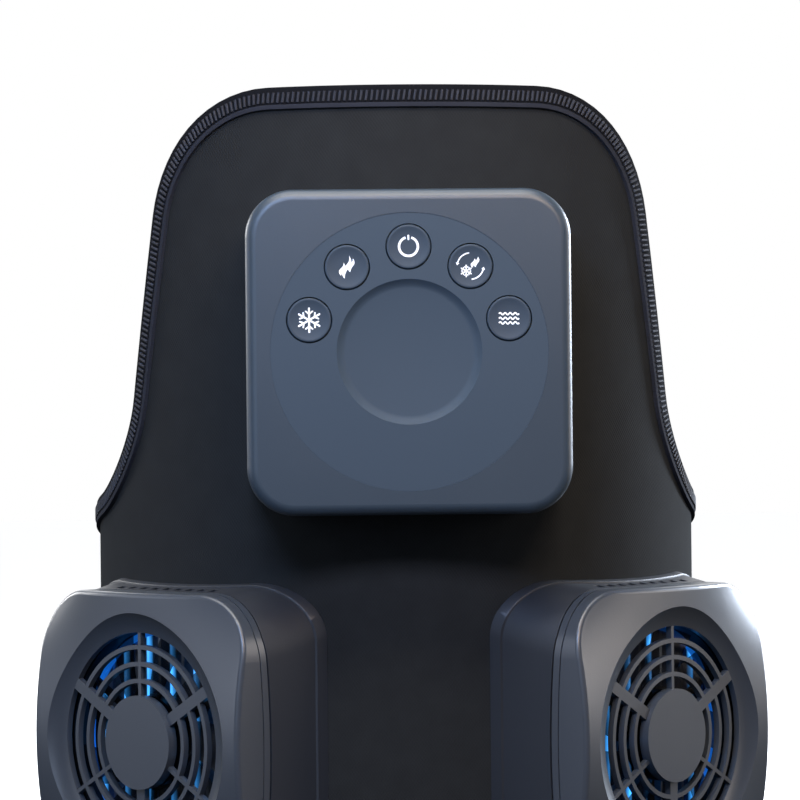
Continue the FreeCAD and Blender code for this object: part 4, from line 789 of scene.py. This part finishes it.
# a tongue of flame: round below, drawn out to a point above
def tongue(mesh, across, up, size, width, lean):
    steps = symbol["tongueSteps"]
    verts = []
    for side in (1, -1):
        for i in range(steps):
            part = i / steps if side > 0 else 1 - i / steps
            wide = width * size * math.sin(math.pi * part ** symbol["tongueFull"]) * side
            sway = symbol["tongueSway"] * size * math.sin(2 * math.pi * part)
            verts.append(Vector((wide - sway, (part - 0.5) * size)))
    turn = Matrix.Rotation(math.radians(lean), 2)
    mesh.faces.new([mesh.verts.new((turn @ vert + Vector((across, up))).to_3d()) for vert in verts])


def snowflake(mesh, across, up, size, width):
    middle = Vector((across, up))
    for number in range(6):
        turn = math.radians(60 * number + symbol["flakeTurn"])
        out = Vector((math.cos(turn), math.sin(turn)))
        stroke(mesh, middle, middle + out * size, width)
        for side in (-1, 1):
            twig = Matrix.Rotation(side * math.radians(symbol["twigAngle"]), 2) @ out
            start = middle + out * size * symbol["twigAt"]
            stroke(mesh, start, start + twig * size * symbol["twigLong"], width * symbol["twigWidth"])


def drawCold(mesh):
    snowflake(mesh, *symbol["coldFlake"])


def drawHeat(mesh):
    for shape in symbol["heatTongues"]:
        tongue(mesh, *shape, symbol["heatLean"])


def drawPower(mesh):
    ribbon(mesh, arcPoints(symbol["powerRadius"], *symbol["powerArc"], 48), symbol["powerRing"])
    low, high = symbol["powerBar"]
    stroke(mesh, (0, low), (0, high), symbol["powerStroke"])


# hot and cold by turns: a flake and a flame between two arrows that go round
def drawContrast(mesh):
    snowflake(mesh, *symbol["cycleFlake"])
    for shape in symbol["cycleTongues"]:
        tongue(mesh, *shape, symbol["cycleLean"])
    long, half = symbol["cycleTip"]
    for start in symbol["cycleStarts"]:
        arc = arcPoints(symbol["cycleRadius"], start, start + symbol["cycleTurn"], 14)
        ribbon(mesh, arc, symbol["cycleStroke"])
        tip = Vector(arc[-1])
        ahead = Vector((-tip.y, tip.x)).normalized()
        side = tip.normalized()
        mesh.faces.new([mesh.verts.new(point.to_3d())
                        for point in (tip + ahead * long, tip + side * half, tip - side * half)])


def drawVibration(mesh):
    half, steps = symbol["waveHalf"], symbol["waveSteps"]
    for row in symbol["waveRows"]:
        ribbon(mesh, [(half * (2 * i / steps - 1),
                       row + symbol["waveSwing"] * math.sin(i / steps * symbol["waves"] * 2 * math.pi))
                      for i in range(steps + 1)], symbol["waveStroke"])


# each symbol is a thin print that lies in the button's dish
def makeSymbol(name, draw, across, up):
    mesh = bmesh.new()
    draw(mesh)
    bmesh.ops.recalc_face_normals(mesh, faces=mesh.faces)
    lines = [step * symbol["grid"] for step in range(-symbol["gridLines"], symbol["gridLines"] + 1)]
    cutAcross(mesh, 0, lines)
    cutAcross(mesh, 1, lines)
    bmesh.ops.triangulate(mesh, faces=mesh.faces)
    raised = set(secondLayer(mesh))
    for vert in mesh.verts:
        level = unit["face"] - dishDepth(math.hypot(vert.co.x, vert.co.y))
        vert.co.z = level + (symbol["thick"] if vert in raised else -symbol["thick"])
    faceFront(mesh, across, up)
    printed = finishPiece(mesh, name + "Symbol", "print", name + "_button", smooth=30)


# the base flange's outer face lies flange mm from the leg's axis; sharp in radians
pod = {"flange": 80.4, "within": 0.1, "sharp": 0.9, "rimRound": 0.4}


# the pod's base flange has a softly rounded rim
def makeShell(side):
    mesh = copied(side + "_rear_shell")
    rim = [edge for edge in sharpEdges(mesh, pod["sharp"]) if edge.is_convex
           and all(abs(math.hypot(vert.co.x, vert.co.y) * 1000 - pod["flange"]) < pod["within"]
                   for vert in edge.verts)]
    roundEdges(mesh, rim, pod["rimRound"] / 1000, 3)
    shell = finishPiece(mesh, side + "Shell", "podShell", smooth=30)
    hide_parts(side + "_rear_shell")


for side in ("left", "right"):
    makeShell(side)
print("pod shells made")

makeInlay()
drawings = {"cold": drawCold, "heat": drawHeat, "power": drawPower, "contrast": drawContrast,
            "vibration": drawVibration}
for number, (name, draw) in enumerate(drawings.items()):
    turn = math.radians((number - 2) * button["pitch"])
    place = (button["circle"] * math.sin(turn), button["circle"] * math.cos(turn))
    makeButton(name, *place)
    makeSymbol(name, draw, *place)
print("control unit made")

# floor and light
stage = {
    "floor": "ffffff", "floorSize": 8.0, "background": "ffffff", "backgroundStrength": 1.0,
    "ambient": "e2eafc", "ambientStrength": 0.11,
    "sun": "ffffff", "sunStrength": 3.0, "sunSoftness": 50.0, "sunLean": (8.0, -6.0), "sunHeight": 2,
}
lamps = {
    "topLeft": {"at": (-0.10, -0.44, 0.37), "aim": (0, -0.09, 0.18), "size": (0.16, 0.08), "power": 1.65,
                "colour": "a4c6ff"},
    "topRight": {"at": (0.10, -0.44, 0.37), "aim": (0, -0.09, 0.18), "size": (0.16, 0.08), "power": 1.1,
                 "colour": "ffdfbe"},
    "overTop": {"at": (0.0, -0.24, 0.39), "aim": (0, -0.08, 0.2), "size": (0.20, 0.05), "power": 0.65,
                "colour": "fff4e6"},
    "nearLeft": {"at": (-0.24, -0.52, 0.26), "aim": (0, -0.09, 0.16), "size": (0.24, 0.34), "power": 0.5,
                 "colour": "cfe4ff"},
    "leftBox": {"at": (-1.0, -0.10, 0.32), "aim": (0, 0, 0.08), "size": (0.5, 0.6), "power": 2.3,
                "colour": "e6eeff"},
    "rightBox": {"at": (1.0, -0.08, 0.32), "aim": (0, 0, 0.09), "size": (0.4, 0.5), "power": 3.6,
                 "colour": "fff4ec"},
    "rimRight": {"at": (0.85, 0.617, 0.38), "aim": (0.05, -0.05, 0.1), "size": (0.25, 0.35), "power": 27.0,
                 "colour": "e2eeff"},
    "rimLeft": {"at": (-0.85, 0.617, 0.42), "aim": (-0.05, -0.05, 0.1), "size": (0.25, 0.35), "power": 6.0,
                "colour": "ffffff"},
    "back": {"at": (0.0, 1.1, 0.7), "aim": (0, 0, 0.1), "size": (1.4, 0.6), "power": 8.0, "colour": "ffffff"},
}


# a lamp that stands at one point and shines on another
def makeLamp(name, kind, at, aim, power, colour):
    data = bpy.data.lights.new(name, kind)
    data.energy = power
    data.color = linear(colour)[:3]
    obj = bpy.data.objects.new(name, data)
    obj.location = at
    obj.rotation_euler = (Vector(aim) - Vector(at)).to_track_quat("-Z", "Y").to_euler()
    bpy.context.scene.collection.objects.link(obj)
    return data


# a wide pale floor
def makeFloor():
    mesh = bmesh.new()
    bmesh.ops.create_grid(mesh, x_segments=1, y_segments=1, size=stage["floorSize"] / 2)
    data = bpy.data.meshes.new("floor")
    mesh.to_mesh(data)
    mesh.free()
    data.materials.append(Finish("floor", stage["floor"], 0.9, specular=0.1).material)
    floor = bpy.data.objects.new("floor", data)
    bpy.context.scene.collection.objects.link(floor)
    floor.visible_diffuse = False       # the floor is lit, and throws no light back at the object
    floor.visible_glossy = False


# the backdrop is white, and lights the object more softly than it looks
def makeBackdrop():
    world = bpy.data.worlds.new("world")
    world.use_nodes = True
    tree = world.node_tree
    soft = tree.nodes["Background"]
    soft.inputs[0].default_value = linear(stage["ambient"])
    soft.inputs[1].default_value = stage["ambientStrength"]
    seen = tree.nodes.new("ShaderNodeBackground")
    seen.inputs[0].default_value = linear(stage["background"])
    seen.inputs[1].default_value = stage["backgroundStrength"]
    path = tree.nodes.new("ShaderNodeLightPath")
    both = tree.nodes.new("ShaderNodeMixShader")
    tree.links.new(path.outputs["Is Camera Ray"], both.inputs[0])
    tree.links.new(soft.outputs[0], both.inputs[1])
    tree.links.new(seen.outputs[0], both.inputs[2])
    tree.links.new(both.outputs[0], tree.nodes["World Output"].inputs[0])
    bpy.context.scene.world = world
    bpy.context.scene.view_settings.view_transform = "Standard"


def makeLamps():
    for name, lamp in lamps.items():
        data = makeLamp(name, "AREA", lamp["at"], lamp["aim"], lamp["power"], lamp["colour"])
        data.shape = "RECTANGLE"
        data.size, data.size_y = lamp["size"]
    forwards, sideways = [math.tan(math.radians(angle)) for angle in stage["sunLean"]]
    height = stage["sunHeight"]
    sun = makeLamp("sun", "SUN", (height * sideways, -height * forwards, height), (0, 0, 0),
                   stage["sunStrength"], stage["sun"])
    sun.angle = math.radians(stage["sunSoftness"])


makeFloor()
makeBackdrop()
makeLamps()
print("stage lit")
